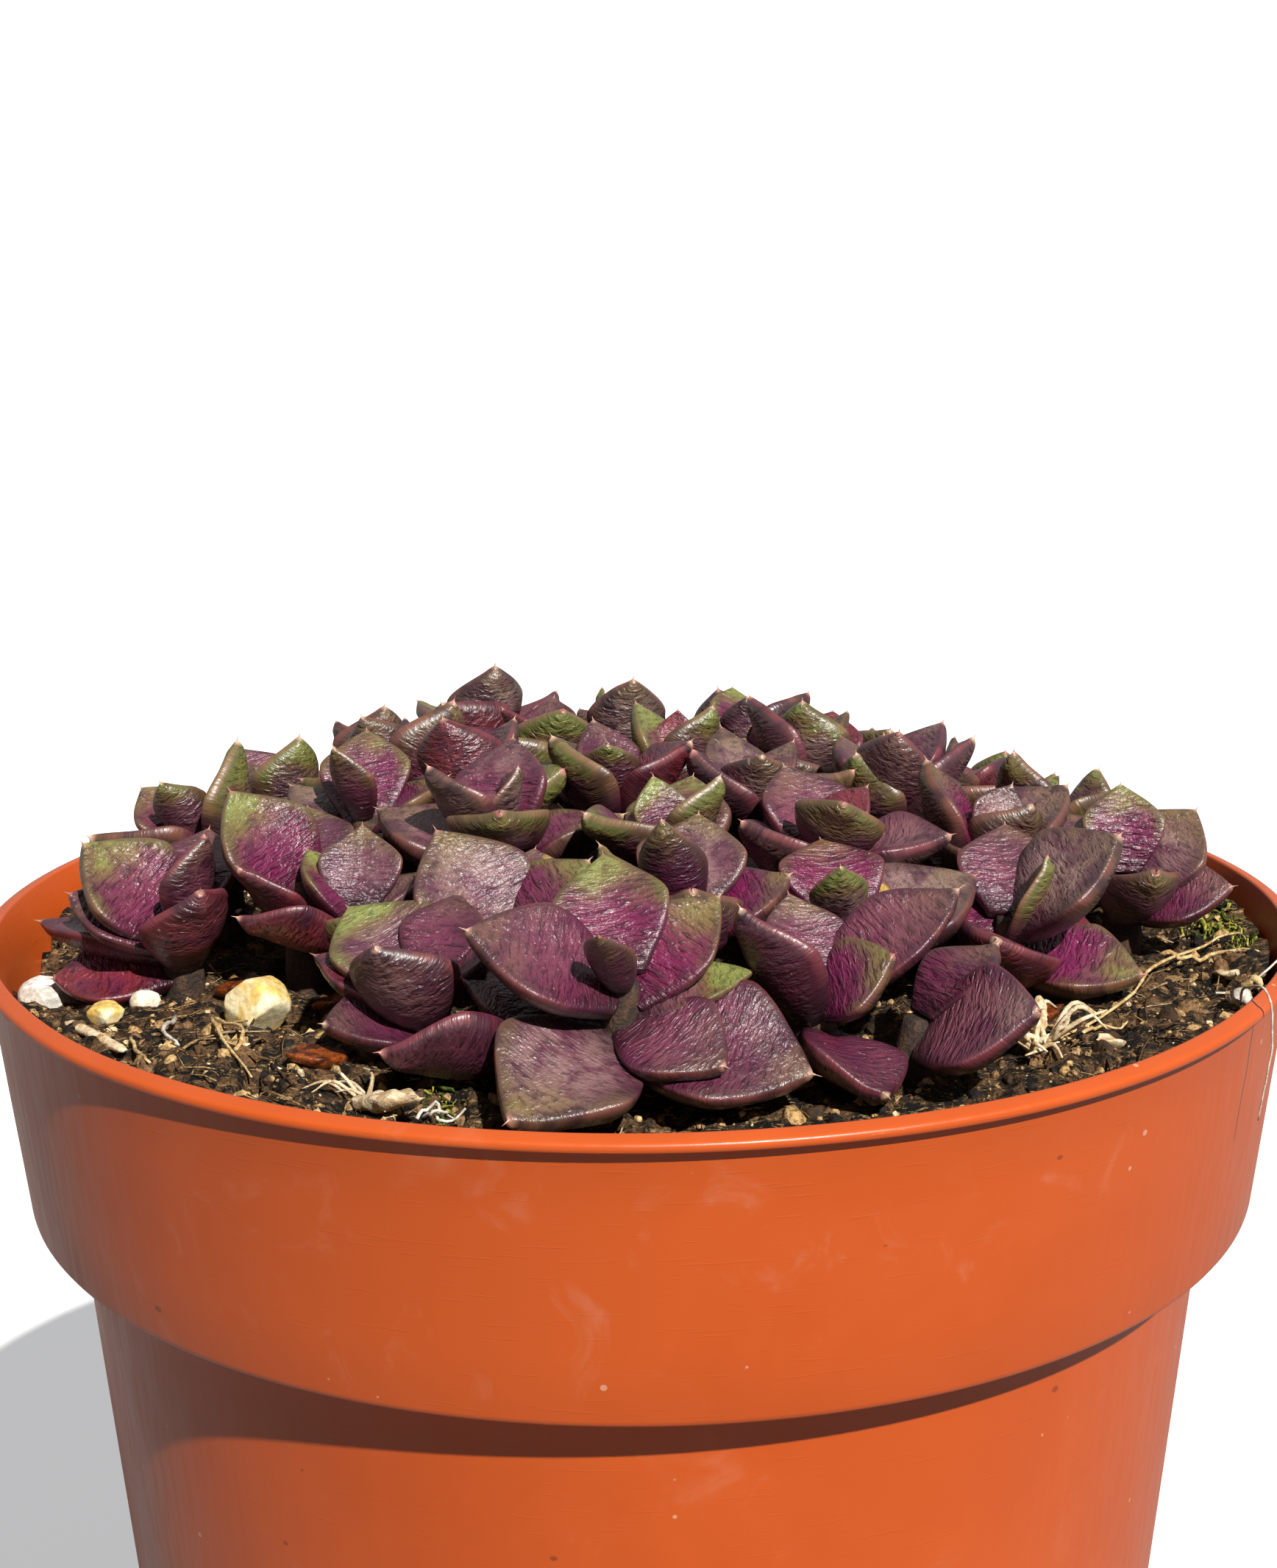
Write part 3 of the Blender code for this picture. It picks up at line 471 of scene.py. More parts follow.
# Looks of two colours in clouds: the colours, the clouds' grain in mm, the roughness, and the relief in mm
MOTTLED = {
    "stem_bark": ((0.03, 0.018, 0.012), (0.09, 0.045, 0.026), 1.2, (0.7, 0.9), 0.3),
    "yellow_stone": ((0.9, 0.6, 0.16), (0.93, 0.84, 0.54), 2.6, (0.3, 0.6), 0.06),
    "cream_stone": ((0.84, 0.7, 0.5), (0.9, 0.85, 0.72), 2.6, (0.5, 0.7), 0.06),
    "white_stone": ((0.6, 0.56, 0.48), (0.9, 0.89, 0.86), 2.4, (0.6, 0.8), 0.15),
    "fallen_leaf": ((0.3, 0.07, 0.012), (0.06, 0.014, 0.006), 1.1, (0.15, 0.38), 0.12),
    "straw": ((0.9, 0.76, 0.52), (0.6, 0.42, 0.22), 0.8, (0.6, 0.85), 0.08),
    "husk": ((0.85, 0.7, 0.48), (0.5, 0.33, 0.17), 0.9, (0.6, 0.85), 0.15),
    "golden_fibre": ((0.78, 0.6, 0.3), (0.5, 0.31, 0.11), 0.6, (0.5, 0.8), 0.05),
    "white_root": ((0.8, 0.76, 0.68), (0.52, 0.45, 0.36), 0.6, (0.5, 0.8), 0.05),
}

# The studio
CAMERA_RAY, GLOSSY_RAY = 0, 3  # which of the kinds of ray a light path tells
FLOOR_REACH = 20000.0
FLOOR_GLOW = 0.45  # keeps the paper's shadow pale
SKY_LIGHT = 0.072
SKY_SHEEN = 0.42  # how bright the sky is in reflections
SKY_SEEN = 1.1
KEY_ENERGY = 5.4
KEY_WIDTH = 1.2  # degrees
KEY_COLOUR = (1.0, 0.965, 0.91)
KEY_BEARING = 27.0
KEY_ELEVATION = 45.0
LENS = 49.256
SENSOR = 36.0
EYE = (0.719, -170.85, 138.54)
EYE_YAW, EYE_PITCH, EYE_ROLL = 0.0038, 0.2149, 0.0086  # radians


# Fields of numbers


def lattice_noise(points, seed=0):
    """Smooth noise from -1 to 1 at an array of points, whose lumps are one unit apart."""
    table = np.random.default_rng(seed).permutation(256)
    cell = np.floor(points).astype(int)
    part = points - cell
    part = part * part * (3 - 2 * part)
    total = 0.0
    for corner in range(8):
        step = np.array([corner >> 2 & 1, corner >> 1 & 1, corner & 1])
        place = (cell + step) & 255
        value = table[(table[(table[place[..., 0]] + place[..., 1]) & 255] + place[..., 2]) & 255]
        weight = np.where(step, part, 1 - part).prod(axis=-1)
        total = total + weight * value
    return total / 127.5 - 1


def rough_noise(points, octaves=3, seed=0):
    """Layers of lattice noise, each half as large and half as strong as the one before."""
    total, size, reach = 0.0, 1.0, 0.0
    for octave in range(octaves):
        total = total + size * lattice_noise(points / size, seed + octave)
        reach += size
        size /= 2
    return total / reach


def ease(value, low, high):
    """0 below low, 1 above high, and smooth between."""
    share = np.clip((value - low) / (high - low), 0, 1)
    return share * share * (3 - 2 * share)


# Meshes


def linked(name, data):
    """A new object in the scene."""
    made = bpy.data.objects.new(name, data)
    bpy.context.scene.collection.objects.link(made)
    return made


def new_object(name, points, faces, materials=(), smooth=True):
    """A mesh object from points in millimetres."""
    mesh = bpy.data.meshes.new(name)
    mesh.from_pydata((np.asarray(points, dtype=float) * MM).tolist(), [], faces)
    mesh.polygons.foreach_set("use_smooth", [smooth] * len(mesh.polygons))
    for material in materials:
        mesh.materials.append(material)
    mesh.update()
    return linked(name, mesh)


def paint_points(made, name, values):
    """Stores four numbers a point for the materials to read."""
    layer = made.data.attributes.new(name, "FLOAT_COLOR", "POINT")
    layer.data.foreach_set("color", np.asarray(values, dtype=np.float32).ravel())


def paint_uv(made, name, values):
    """Stores a place in millimetres for each point as a UV map."""
    layer = made.data.uv_layers.new(name=name)
    corners = np.zeros(len(made.data.loops), dtype=int)
    made.data.loops.foreach_get("vertex_index", corners)
    layer.data.foreach_set("uv", np.asarray(values, dtype=np.float32)[corners].ravel())


def tube_faces(rings, sides):
    """Faces of a closed tube of rings between two poles, its first and last points."""
    faces = []
    end = 1 + rings * sides
    for s in range(sides):
        n = (s + 1) % sides
        faces.append((0, 1 + n, 1 + s))
        for low in range(1, end - sides, sides):
            faces.append((low + s, low + n, low + sides + n, low + sides + s))
        faces.append((end - sides + s, end - sides + n, end))
    return faces


def ring_faces(rings, sides):
    """Faces of a closed tube of rings, each with the same number of points."""
    faces = []
    for r in range(rings - 1):
        for s in range(sides):
            n = (s + 1) % sides
            faces.append((r * sides + s, r * sides + n, (r + 1) * sides + n, (r + 1) * sides + s))
    faces.append(tuple(range(sides))[::-1])
    faces.append(tuple((rings - 1) * sides + s for s in range(sides)))
    return faces


def spokes(count):
    """Unit steps (x, y) from the middle of a circle to points at equal distances round it."""
    angles = [2 * math.pi * s / count for s in range(count)]
    return [(math.cos(angle), math.sin(angle)) for angle in angles]


def merged(parts):
    """The points and faces of several parts as one."""
    faces, count = [], 0
    for points, part_faces in parts:
        faces += [tuple(corner + count for corner in face) for face in part_faces]
        count += len(points)
    return np.concatenate([points for points, _ in parts]), faces


def piece(made, node=None):
    """Attaches a piece of the object to the root body, and hides the CAD node it may stand for."""
    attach(made, "root")
    if node:
        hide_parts(node)
    return made


def evaluated_copy(made, name):
    """A plain mesh object of what made looks like with its modifiers, in its place."""
    bpy.context.view_layer.update()
    graph = bpy.context.evaluated_depsgraph_get()
    mesh = bpy.data.meshes.new_from_object(made.evaluated_get(graph))
    mesh.name = name
    copy = linked(name, mesh)
    bpy.data.objects.remove(made)
    return copy


# Node trees


class Graph:
    """Adds nodes to a tree. A value that is a socket is linked, and any other is set."""

    def __init__(self, tree):
        self.tree = tree

    def add(self, kind, values=None, out=0, **settings):
        node = self.tree.nodes.new(kind)
        for name, value in settings.items():
            setattr(node, name, value)
        for key, value in (values or {}).items():
            if isinstance(value, bpy.types.NodeSocket):
                self.tree.links.new(value, node.inputs[key])
            else:
                node.inputs[key].default_value = value
        return node.outputs[out]

    def link(self, socket, node, key):
        self.tree.links.new(socket, node.inputs[key])

    def math(self, operation, a, b):
        return self.add("ShaderNodeMath", {0: a, 1: b}, operation=operation)

    def plus(self, a, b):
        return self.math("ADD", a, b)

    def times(self, a, *others):
        for other in others:
            a = self.math("MULTIPLY", a, other)
        return a

    def attribute(self, name, out=0):
        return self.add("ShaderNodeAttribute", out=out, attribute_name=name)

    def channels(self, colour):
        return list(self.add("ShaderNodeSeparateColor", {0: colour}).node.outputs)

    def place(self, vector, scale, turn=(0, 0, 0)):
        values = {"Vector": vector, "Scale": scale, "Rotation": turn}
        return self.add("ShaderNodeMapping", values)

    def noise(self, vector, scale=1.0, detail=2.0, roughness=0.5, distortion=0.0):
        values = {
            "Vector": vector,
            "Scale": scale,
            "Detail": detail,
            "Roughness": roughness,
            "Distortion": distortion,
        }
        return self.add("ShaderNodeTexNoise", values)

    def spread(self, value, low, high, to_low=0.0, to_high=1.0):
        """Maps low..high to to_low..to_high, smoothly."""
        values = {"Value": value, 1: low, 2: high, 3: to_low, 4: to_high}
        return self.add("ShaderNodeMapRange", values, interpolation_type="SMOOTHSTEP")

    def mix(self, share, a, b, blend="MIX"):
        values = {0: share, 6: a, 7: b}
        return self.add("ShaderNodeMix", values, out=2, data_type="RGBA", blend_type=blend)

    def shaded(self, colour, by):
        return self.mix(1.0, colour, by, "MULTIPLY")

    def group(self, name, values):
        return self.add("ShaderNodeGroup", values, node_tree=bpy.data.node_groups[name])

    def speckled(self, colour, place, cell, share, strength, tint):
        """The colour with specks of a tint, at most one in each cell of a size in millimetres."""
        specks = self.group("specks", {"Place": place, "Cell": cell, "Share": share})
        return self.mix(self.times(specks, strength), colour, tint)

    def skin(self, coarse, coarse_depth, fine, fine_depth):
        """The normal of a skin with a coarse and a fine relief, whose depths are in millimetres."""
        values = {"Coarse": coarse, "Coarse depth": coarse_depth, "Fine": fine, "Fine depth": fine_depth}
        return self.group("skin", values)

    def random(self, low, high, seed, order):
        """A random number for each point, with a seed of its own for each order."""
        own = self.plus(self.times(seed, 10.0), float(order))
        values = {2: low, 3: high, "Seed": own}
        return self.add("FunctionNodeRandomValue", values, 1, data_type="FLOAT")

    def bump(self, height, distance, normal=None):
        values = {"Height": height, "Distance": distance, "Strength": 1.0}
        if normal:
            values["Normal"] = normal
        return self.add("ShaderNodeBump", values)


def rgb(r, g, b):
    return (r, g, b, 1.0)


def start_material(name):
    material = bpy.data.materials.new(name)
    material.use_nodes = True
    return Graph(material.node_tree), material


def finish_material(graph, material, colour, roughness, normal, **constants):
    shader = material.node_tree.nodes["Principled BSDF"]
    graph.link(colour, shader, "Base Color")
    graph.link(roughness, shader, "Roughness")
    graph.link(normal, shader, "Normal")
    for name, value in constants.items():
        shader.inputs[name.replace("_", " ")].default_value = value
    return material


def millimetres(graph):
    """Where a point lies in the object, in millimetres."""
    place = graph.add("ShaderNodeTexCoord", out=3)
    return graph.place(place, (1 / MM, 1 / MM, 1 / MM))


def new_group(name, inputs, outputs, kind="Shader"):
    """An empty group of nodes: its graph, what it is given, and the node that takes its results."""
    tree = bpy.data.node_groups.new(name, f"{kind}NodeTree")
    for label, socket in inputs.items():
        tree.interface.new_socket(label, in_out="INPUT", socket_type=f"NodeSocket{socket}")
    for label, socket in outputs.items():
        tree.interface.new_socket(label, in_out="OUTPUT", socket_type=f"NodeSocket{socket}")
    given = tree.nodes.new("NodeGroupInput").outputs
    return Graph(tree), given, tree.nodes.new("NodeGroupOutput")


def specks_group():
    """A mask of separate round specks, at most one in each cell of a size in millimetres."""
    inputs = {"Place": "Vector", "Cell": "Float", "Share": "Float"}
    graph, given, result = new_group("specks", inputs, {"Mask": "Float"})
    scale = graph.math("DIVIDE", 1.0, given["Cell"])
    place = graph.add("ShaderNodeVectorMath", {0: given["Place"], "Scale": scale}, operation="SCALE")
    distance = graph.add("ShaderNodeTexVoronoi", {"Vector": place, "Scale": 1.0})
    chance = graph.channels(distance.node.outputs[1])[0]
    least = graph.math("SUBTRACT", 1.0, given["Share"])
    radius = graph.add("ShaderNodeMapRange", {"Value": chance, 1: least, 2: 1.0, 3: 0.0, 4: 0.24})
    inside = graph.math("SUBTRACT", radius, distance)
    graph.link(graph.spread(inside, 0.0, 0.06), result, "Mask")


def skin_group():
    """A normal raised by a coarse and by a fine height, whose depths are in millimetres."""
    inputs = {"Coarse": "Float", "Coarse depth": "Float", "Fine": "Float", "Fine depth": "Float"}
    graph, given, result = new_group("skin", inputs, {"Normal": "Vector"})
    normal = graph.bump(given["Coarse"], graph.times(given["Coarse depth"], MM))
    normal = graph.bump(given["Fine"], graph.times(given["Fine depth"], MM), normal)
    graph.link(normal, result, "Normal")


def mottle_group():
    """Two colours in clouds of a grain in millimetres, with the clouds' height and a fine height."""
    inputs = {"Place": "Vector", "Grain": "Float", "First": "Color", "Second": "Color"}
    outputs = {"Colour": "Color", "Cloud": "Float", "Fine": "Float"}
    graph, given, result = new_group("mottle", inputs, outputs)
    scale = graph.math("DIVIDE", 1.0, given["Grain"])
    place = graph.add("ShaderNodeVectorMath", {0: given["Place"], "Scale": scale}, operation="SCALE")
    cloud = graph.noise(place, 1.0, 4, 0.6, 0.6)
    fine = graph.noise(place, 6.0, 3, 0.6)
    colour = graph.mix(graph.spread(cloud, 0.4, 0.6), given["First"], given["Second"])
    graph.link(graph.shaded(colour, graph.spread(fine, 0.3, 0.7, 0.72, 1.12)), result, "Colour")
    graph.link(cloud, result, "Cloud")
    graph.link(fine, result, "Fine")


# Looks


class LeafSpot(NamedTuple):
    """What a leaf's material reads at a point, as sockets."""

    place: object  # in millimetres on the leaf laid flat, different for each leaf
    along: object  # 0 at the root and 1 at the tip
    edge: object  # 0 in the middle and 1 at the margins
    inner: object  # 0 beneath and 1 on the upper side
    patch: object
    blotch: object


def leaf_spot(graph):
    flat = graph.add("ShaderNodeUVMap", uv_map="leaf_mm")
    across, along, _ = graph.add("ShaderNodeSeparateXYZ", {0: flat}).node.outputs
    place = graph.add("ShaderNodeCombineXYZ", {0: across, 1: along, 2: graph.attribute("spot", 3)})
    along, edge, upper = graph.channels(graph.attribute("spot"))
    patch = graph.noise(place, 0.22, 1.5, 0.5, 0.3)
    blotch = graph.noise(place, 0.42, 2.5, 0.5, 0.4)
    return LeafSpot(place, along, edge, graph.spread(upper, 0.4, 0.6), patch, blotch)


def flesh_colour(graph, spot, tone, red):
    """Dark purple with a waxy bloom and painted sheen in the middle, wine at the root, olive to green at
    the tip, and red in blotches.
    """
    green, magenta, pale = tone
    tipward = graph.spread(graph.plus(spot.along, graph.times(spot.patch, 0.4)), 0.6, 1.25)
    rootward = graph.math("SUBTRACT", 1.0, tipward)
    cloudy = graph.spread(spot.patch, 0.35, 0.65)
    colour = graph.mix(cloudy, rgb(0.03, 0.007, 0.018), rgb(0.088, 0.022, 0.042))
    # The pale waxy colour, strongest in the middle of each leaf, is partly its bloom and partly painted
    # sheen.
    middle = graph.spread(spot.edge, 0.3, 0.95, 1.0, 0.35)
    bloom_and_sheen = graph.times(pale, middle, graph.spread(spot.blotch, 0.36, 0.58, 0.15, 1.0))
    colour = graph.mix(bloom_and_sheen, colour, rgb(0.3, 0.2, 0.175))
    wine = graph.times(magenta, rootward, graph.spread(spot.inner, 0, 1, 0.3, 1))
    colour = graph.mix(wine, colour, rgb(0.15, 0.006, 0.06))
    edging = graph.times(graph.spread(spot.edge, 0.5, 0.92), graph.spread(spot.along, 0.2, 0.6, 0.0, 0.6))
    outward = graph.spread(graph.math("MAXIMUM", tipward, edging), 0, 1, 0.1, 1)
    greening = graph.times(green, outward, graph.spread(spot.blotch, 0.35, 0.6, 0.6, 1.15))
    colour = graph.mix(graph.spread(greening, 0.04, 0.65), colour, rgb(0.16, 0.098, 0.04))
    colour = graph.mix(graph.spread(greening, 0.45, 1.05), colour, rgb(0.2, 0.22, 0.055))
    rusty = graph.times(red, graph.spread(spot.blotch, 0.35, 0.62, 0.2, 1))
    return graph.mix(rusty, colour, rgb(0.19, 0.02, 0.03)), wine


def flesh_margin(graph, spot, colour, green):
    """The colour with painted shade towards the margin and beneath, and a fine warm line along the margin.
    """
    rim = graph.spread(spot.edge, 0.55, 0.93, 1.0, 0.7)
    # Painted shade: darker towards the margin and on the leaf's underside.
    colour = graph.shaded(colour, graph.times(rim, graph.spread(spot.inner, 0, 1, 0.78, 1.0)))
    line = graph.times(graph.spread(spot.edge, 0.93, 0.99), graph.spread(spot.along, 0.15, 0.6))
    warm = graph.mix(green, rgb(0.2, 0.035, 0.05), rgb(0.24, 0.11, 0.06))
    return graph.mix(graph.times(line, graph.spread(spot.blotch, 0.35, 0.6, 0.05, 0.65)), colour, warm)


def flesh_marks(graph, spot, colour):
    """The colour with dust, the marks of single leaves, and the pale point at the tip."""
    colour = graph.speckled(colour, spot.place, 0.5, 0.1, 0.5, rgb(0.5, 0.4, 0.36))
    for place, mark in MARKS.items():
        far = graph.add("ShaderNodeVectorMath", {0: spot.place, 1: place}, 1, operation="DISTANCE")
        ragged = graph.plus(far, graph.times(spot.blotch, 1.6))
        colour = graph.mix(graph.spread(ragged, 1.35, 1.6, 0.85, 0.0), colour, mark)
    blush = graph.mix(graph.spread(spot.patch, 0.4, 0.6), rgb(0.62, 0.4, 0.28), rgb(0.5, 0.2, 0.17))
    return graph.mix(graph.spread(spot.along, 0.96, 1.0), colour, blush)


def leaf_flesh():
    """Flesh with folds where it is wine and puckers elsewhere, which are calm along the margin, with
    painted shade in their creases and towards the root.
    """
    graph, material = start_material("leaf_flesh")
    spot = leaf_spot(graph)
    tone = graph.channels(graph.attribute("tone"))
    colour, wine = flesh_colour(graph, spot, tone, graph.attribute("tone", 3))
    colour = flesh_margin(graph, spot, colour, tone[0])
    fold = graph.noise(graph.place(spot.place, (0.75, 2.7, 1)), 1.0, 2.2, 0.5, 0.8)
    pucker = graph.noise(graph.place(spot.place, (1.3, 2.5, 1)), 1.0, 2.2, 0.5, 0.7)
    folded = graph.spread(wine, 0.1, 0.5, 0.25, 1.0)
    crease = graph.add("ShaderNodeMix", {0: folded, 2: pucker, 3: fold})
    calm = graph.spread(spot.edge, 0.8, 0.97, 1.0, 0.2)
    # Painted shade in the creases and a faint painted highlight on the ridges, keyed to the relief of the
    # bump.
    painted_crease_shade = graph.shaded(colour, graph.spread(crease, 0.32, 0.54, 0.5, 1.12))
    colour = graph.mix(calm, colour, painted_crease_shade)
    # Painted shade: darker towards the root, where the leaves crowd together.
    colour = graph.shaded(colour, graph.spread(spot.along, 0.0, 0.4, 0.3, 1.0))
    colour = flesh_marks(graph, spot, colour)
    grain = graph.noise(spot.place, 5.0, 2, 0.55, 0.3)
    roughness = graph.spread(grain, 0.3, 0.7, 0.3, 0.48)
    normal = graph.skin(crease, graph.times(calm, 0.34), grain, 0.05)
    return finish_material(graph, material, colour, roughness, normal, Specular_IOR_Level=0.75)


def plastic():
    """Moulded plastic with dust specks, dark specks, pale scuffs and fine scratches."""
    graph, material = start_material("orange_plastic")
    place = millimetres(graph)
    cloud = graph.noise(place, 0.05, 4, 0.6, 0.5)
    stain = graph.noise(place, 0.16, 5, 0.62, 1.2)
    streak = graph.noise(graph.place(place, (1.4, 1.4, 0.09), (0.5, 0.3, 0)), 1.0, 3, 0.55)
    scratch = graph.noise(graph.place(place, (0.2, 0.2, 5.0), (0.2, 0.9, 0.3)), 1.0, 2, 0.5)
    fine = graph.noise(place, 6.0, 2, 0.5)

    colour = graph.mix(graph.spread(cloud, 0.3, 0.7), rgb(0.57, 0.087, 0.009), rgb(0.62, 0.1, 0.013))
    bloom = graph.times(graph.spread(stain, 0.54, 0.76), graph.spread(cloud, 0.45, 0.62, 0.0, 0.22))
    colour = graph.mix(bloom, colour, rgb(0.72, 0.34, 0.24))
    colour = graph.speckled(colour, place, 1.1, 0.045, 0.45, rgb(0.85, 0.6, 0.45))
    colour = graph.speckled(colour, graph.place(place, (1, 1, 1.3)), 1.9, 0.025, 0.55, rgb(0.1, 0.02, 0.01))
    roughness = graph.plus(graph.spread(streak, 0.3, 0.7, 0.31, 0.4), graph.times(bloom, 0.3))
    normal = graph.skin(graph.spread(scratch, 0.66, 0.7), 0.006, fine, 0.004)
    return finish_material(graph, material, colour, roughness, normal)


def earth():
    """Peat, from near black in its pits to brown, with golden threads in it."""
    graph, material = start_material("peat")
    place = millimetres(graph)
    lump = graph.noise(place, 0.7, 5, 0.68, 0.3)
    grit = graph.noise(place, 3.6, 3, 0.7)
    thread = graph.noise(graph.place(place, (0.8, 4.5, 2.0), (0.4, 0.2, 0.7)), 1.0, 3, 0.6, 1.0)
    colour = graph.mix(graph.spread(lump, 0.44, 0.62), rgb(0.004, 0.003, 0.002), rgb(0.14, 0.075, 0.033))
    colour = graph.mix(graph.spread(thread, 0.56, 0.66, 0.0, 0.75), colour, rgb(0.48, 0.31, 0.14))
    colour = graph.shaded(colour, graph.spread(grit, 0.3, 0.65, 0.3, 1.2))
    roughness = graph.spread(grit, 0.3, 0.7, 0.78, 0.95)
    normal = graph.skin(lump, 0.5, grit, 0.2)
    return finish_material(graph, material, colour, roughness, normal, Specular_IOR_Level=0.25)


def crumb_look(name):
    """Four colours shared out over separate crumbs by their tint, from 0 to 1."""
    dark, middle, light, rare = [rgb(*colour) for colour in STREWN_COLOURS[name]]
    graph, material = start_material(name)
    tint = graph.attribute("tint", 2)
    grain = graph.noise(millimetres(graph), 3.0, 3, 0.65)
    colour = graph.mix(graph.spread(tint, 0.25, 0.45), dark, middle)
    colour = graph.mix(graph.spread(tint, 0.5, 0.8), colour, light)
    colour = graph.mix(graph.spread(tint, 0.92, 0.97), colour, rare)
    colour = graph.shaded(colour, graph.spread(grain, 0.35, 0.62, 0.35, 1.25))
    roughness = graph.spread(grain, 0.3, 0.7, 0.6, 0.9)
    normal = graph.skin(grain, 0.12, grain, 0.0)
    return finish_material(graph, material, colour, roughness, normal, Specular_IOR_Level=0.3)


def mottled(name, **constants):
    """Two colours in clouds, on a skin with a relief."""
    first, second, grain, roughness, relief = MOTTLED[name]
    graph, material = start_material(name)
    given = {"Place": millimetres(graph), "Grain": grain, "First": rgb(*first), "Second": rgb(*second)}
    colour, cloud, fine = graph.group("mottle", given).node.outputs
    rough = graph.spread(fine, 0.3, 0.7, *roughness)
    normal = graph.skin(cloud, relief, fine, relief / 2)
    return finish_material(graph, material, colour, rough, normal, **constants)


# Layout shared with the CAD


def bearing_vector(degrees):
    angle = math.radians(degrees)
    return Vector((math.sin(angle), -math.cos(angle), 0.0))


def soil_height(x, y):
    """The soil's top, in small lumps on broad heaps and dips."""
    bump = noise.noise(Vector((x / SOIL_BUMP_SPAN, y / SOIL_BUMP_SPAN, 3.7)))
    height = SOIL_LEVEL + SOIL_BUMP * bump
    for heap_x, heap_y, reach_x, reach_y, rise in SOIL_HEAPS:
        height += rise * math.exp(-(((x - heap_x) / reach_x) ** 2) - ((y - heap_y) / reach_y) ** 2)
    return height


def body_radius(height):
    """The body's outer radius at a height."""
    return FOOT_RADIUS + (BODY_TOP_RADIUS - FOOT_RADIUS) * height / SHOULDER


def collar_radius(height):
    """The collar's outer radius at a height."""
    share = (height - SHOULDER) / (COLLAR_HEIGHT - LIP_HEIGHT)
    return COLLAR_FOOT_RADIUS + (COLLAR_TOP_RADIUS - COLLAR_FOOT_RADIUS) * share


def leaf_surface(leaf, u, theta, tip_curve=TIP_CURVE, point_radius=POINT_RADIUS):
    """Points of a leaf in its own frame (across, along, up), at arrays of u along it and theta round it.

    u is 0 at the root and 1 at the tip, past which a short point stands. theta is 0 and pi at
    the margins.
    """
    swell = np.sin(np.pi / 2 * np.clip(u / WIDEST, 0, 1)) ** ROOT_CURVE
    narrowing = np.clip((u - WIDEST) / (1 - WIDEST), 0, 1) ** tip_curve
    share = np.where(u < WIDEST, ROOT_WIDTH + (1 - ROOT_WIDTH) * swell, 1 - narrowing)
    point = point_radius * np.clip((POINT_END - u) / (POINT_END - POINT_START), 0, 1)
    half = np.maximum(leaf.width / 2 * share, point * (u > POINT_START))
    belly = 0.72 + 0.28 * np.sin(np.pi * np.clip(u / 0.75, 0, 1))
    thick = THICKNESS * leaf.width * belly * np.sqrt(np.clip(1 - u**5, 0, 1))
    across, upward = np.cos(theta), np.sin(theta)
    x = half * np.sign(across) * np.abs(across) ** MARGIN_ROUND
    above = np.maximum(UPPER_SHARE * thick, point) * np.abs(upward) ** MARGIN_ROUND
    below = np.maximum((1 - UPPER_SHARE) * thick, point) * np.abs(upward) ** KEEL_ROUND
    z = np.where(upward >= 0, above, -below)
    z = z + leaf.dish * leaf.width * (2 * x / leaf.width) ** 2 + leaf.arch * leaf.length * u**2
    return np.stack([x, leaf.length * u, z], axis=-1)


def leaf_frame(leaf, axis):
    """The directions across, along and up of a leaf on a rosette whose axis is given."""
    radial = UP.rotation_difference(axis) @ bearing_vector(leaf.bearing)
    rise = math.radians(leaf.rise)
    along = radial * math.cos(rise) + axis * math.sin(rise)
    up = axis * math.cos(rise) - radial * math.sin(rise)
    turn = Quaternion(along, math.radians(leaf.roll))
    return turn @ along.cross(up), along, turn @ up


def leaf_points(leaf, root, axis, u, theta):
    across, along, up = leaf_frame(leaf, axis)
    start = np.array(root + along * ROOT_REACH)
    return start + leaf_surface(leaf, u, theta) @ np.array((across, along, up))


def leaf_mesh(leaf, root, axis, grow=0.0):
    """Points and faces of a leaf in place, root and tip first. grow swells it by some millimetres."""
    swollen = leaf._replace(width=leaf.width + 2 * grow, length=leaf.length + grow)
    u, theta = np.meshgrid((0.0, POINT_END), (0.0, np.pi), indexing="ij")
    ends = leaf_points(swollen, root, axis, u, theta).mean(axis=1)
    u, theta = np.meshgrid(LEAF_STATIONS, np.radians(LEAF_ANGLES), indexing="ij")
    rings = leaf_points(swollen, root, axis, u, theta).reshape(-1, 3)
    points = np.concatenate([ends, rings])
    sides = len(LEAF_ANGLES)
    faces = []
    for s in range(sides):
        n = (s + 1) % sides
        faces.append((0, 2 + n, 2 + s))
        faces.append((2 + s, 2 + n, 2 + sides + n))
        faces.append((2 + s, 2 + sides + n, 2 + sides + s))
        faces.append((2 + sides + s, 2 + sides + n, 1))
    return points, faces


def tree_of(points, faces):
    corners = [(f[0], f[i], f[i + 1]) for f in faces for i in range(1, len(f) - 1)]
    return BVHTree.FromPolygons([Vector(p) for p in points], corners)


def crown_axis(crown):
    """A rosette's axis, which leans outward the nearer it stands to the edge of the mat."""
    distance = math.hypot(crown.x, crown.y)
    lean = crown.lean
    if lean is None:
        lean = EDGE_LEAN * min(distance / MAT_RADIUS, 1.0)
    outward = Vector((crown.x, crown.y, 0)).normalized()
    angle = math.radians(lean)
    return outward * math.sin(angle) + UP * math.cos(angle)


def crown_neck(crown):
    """Where the leafy part of a rosette's stem begins."""
    share = min(math.hypot(crown.x, crown.y) / MAT_RADIUS, 1.0)
    height = crown.neck or soil_height(crown.x, crown.y) + NECK + DOME_RISE * (1 - share**2) + crown.lift
    return Vector((crown.x, crown.y, height))


def leafy_length(crown):
    """How much of a stem carries leaves, less where they are few."""
    count = crown.leaves if isinstance(crown.leaves, int) else len(crown.leaves)
    return LEAFY_LENGTH * min(count / FULL_CROWN, 1)


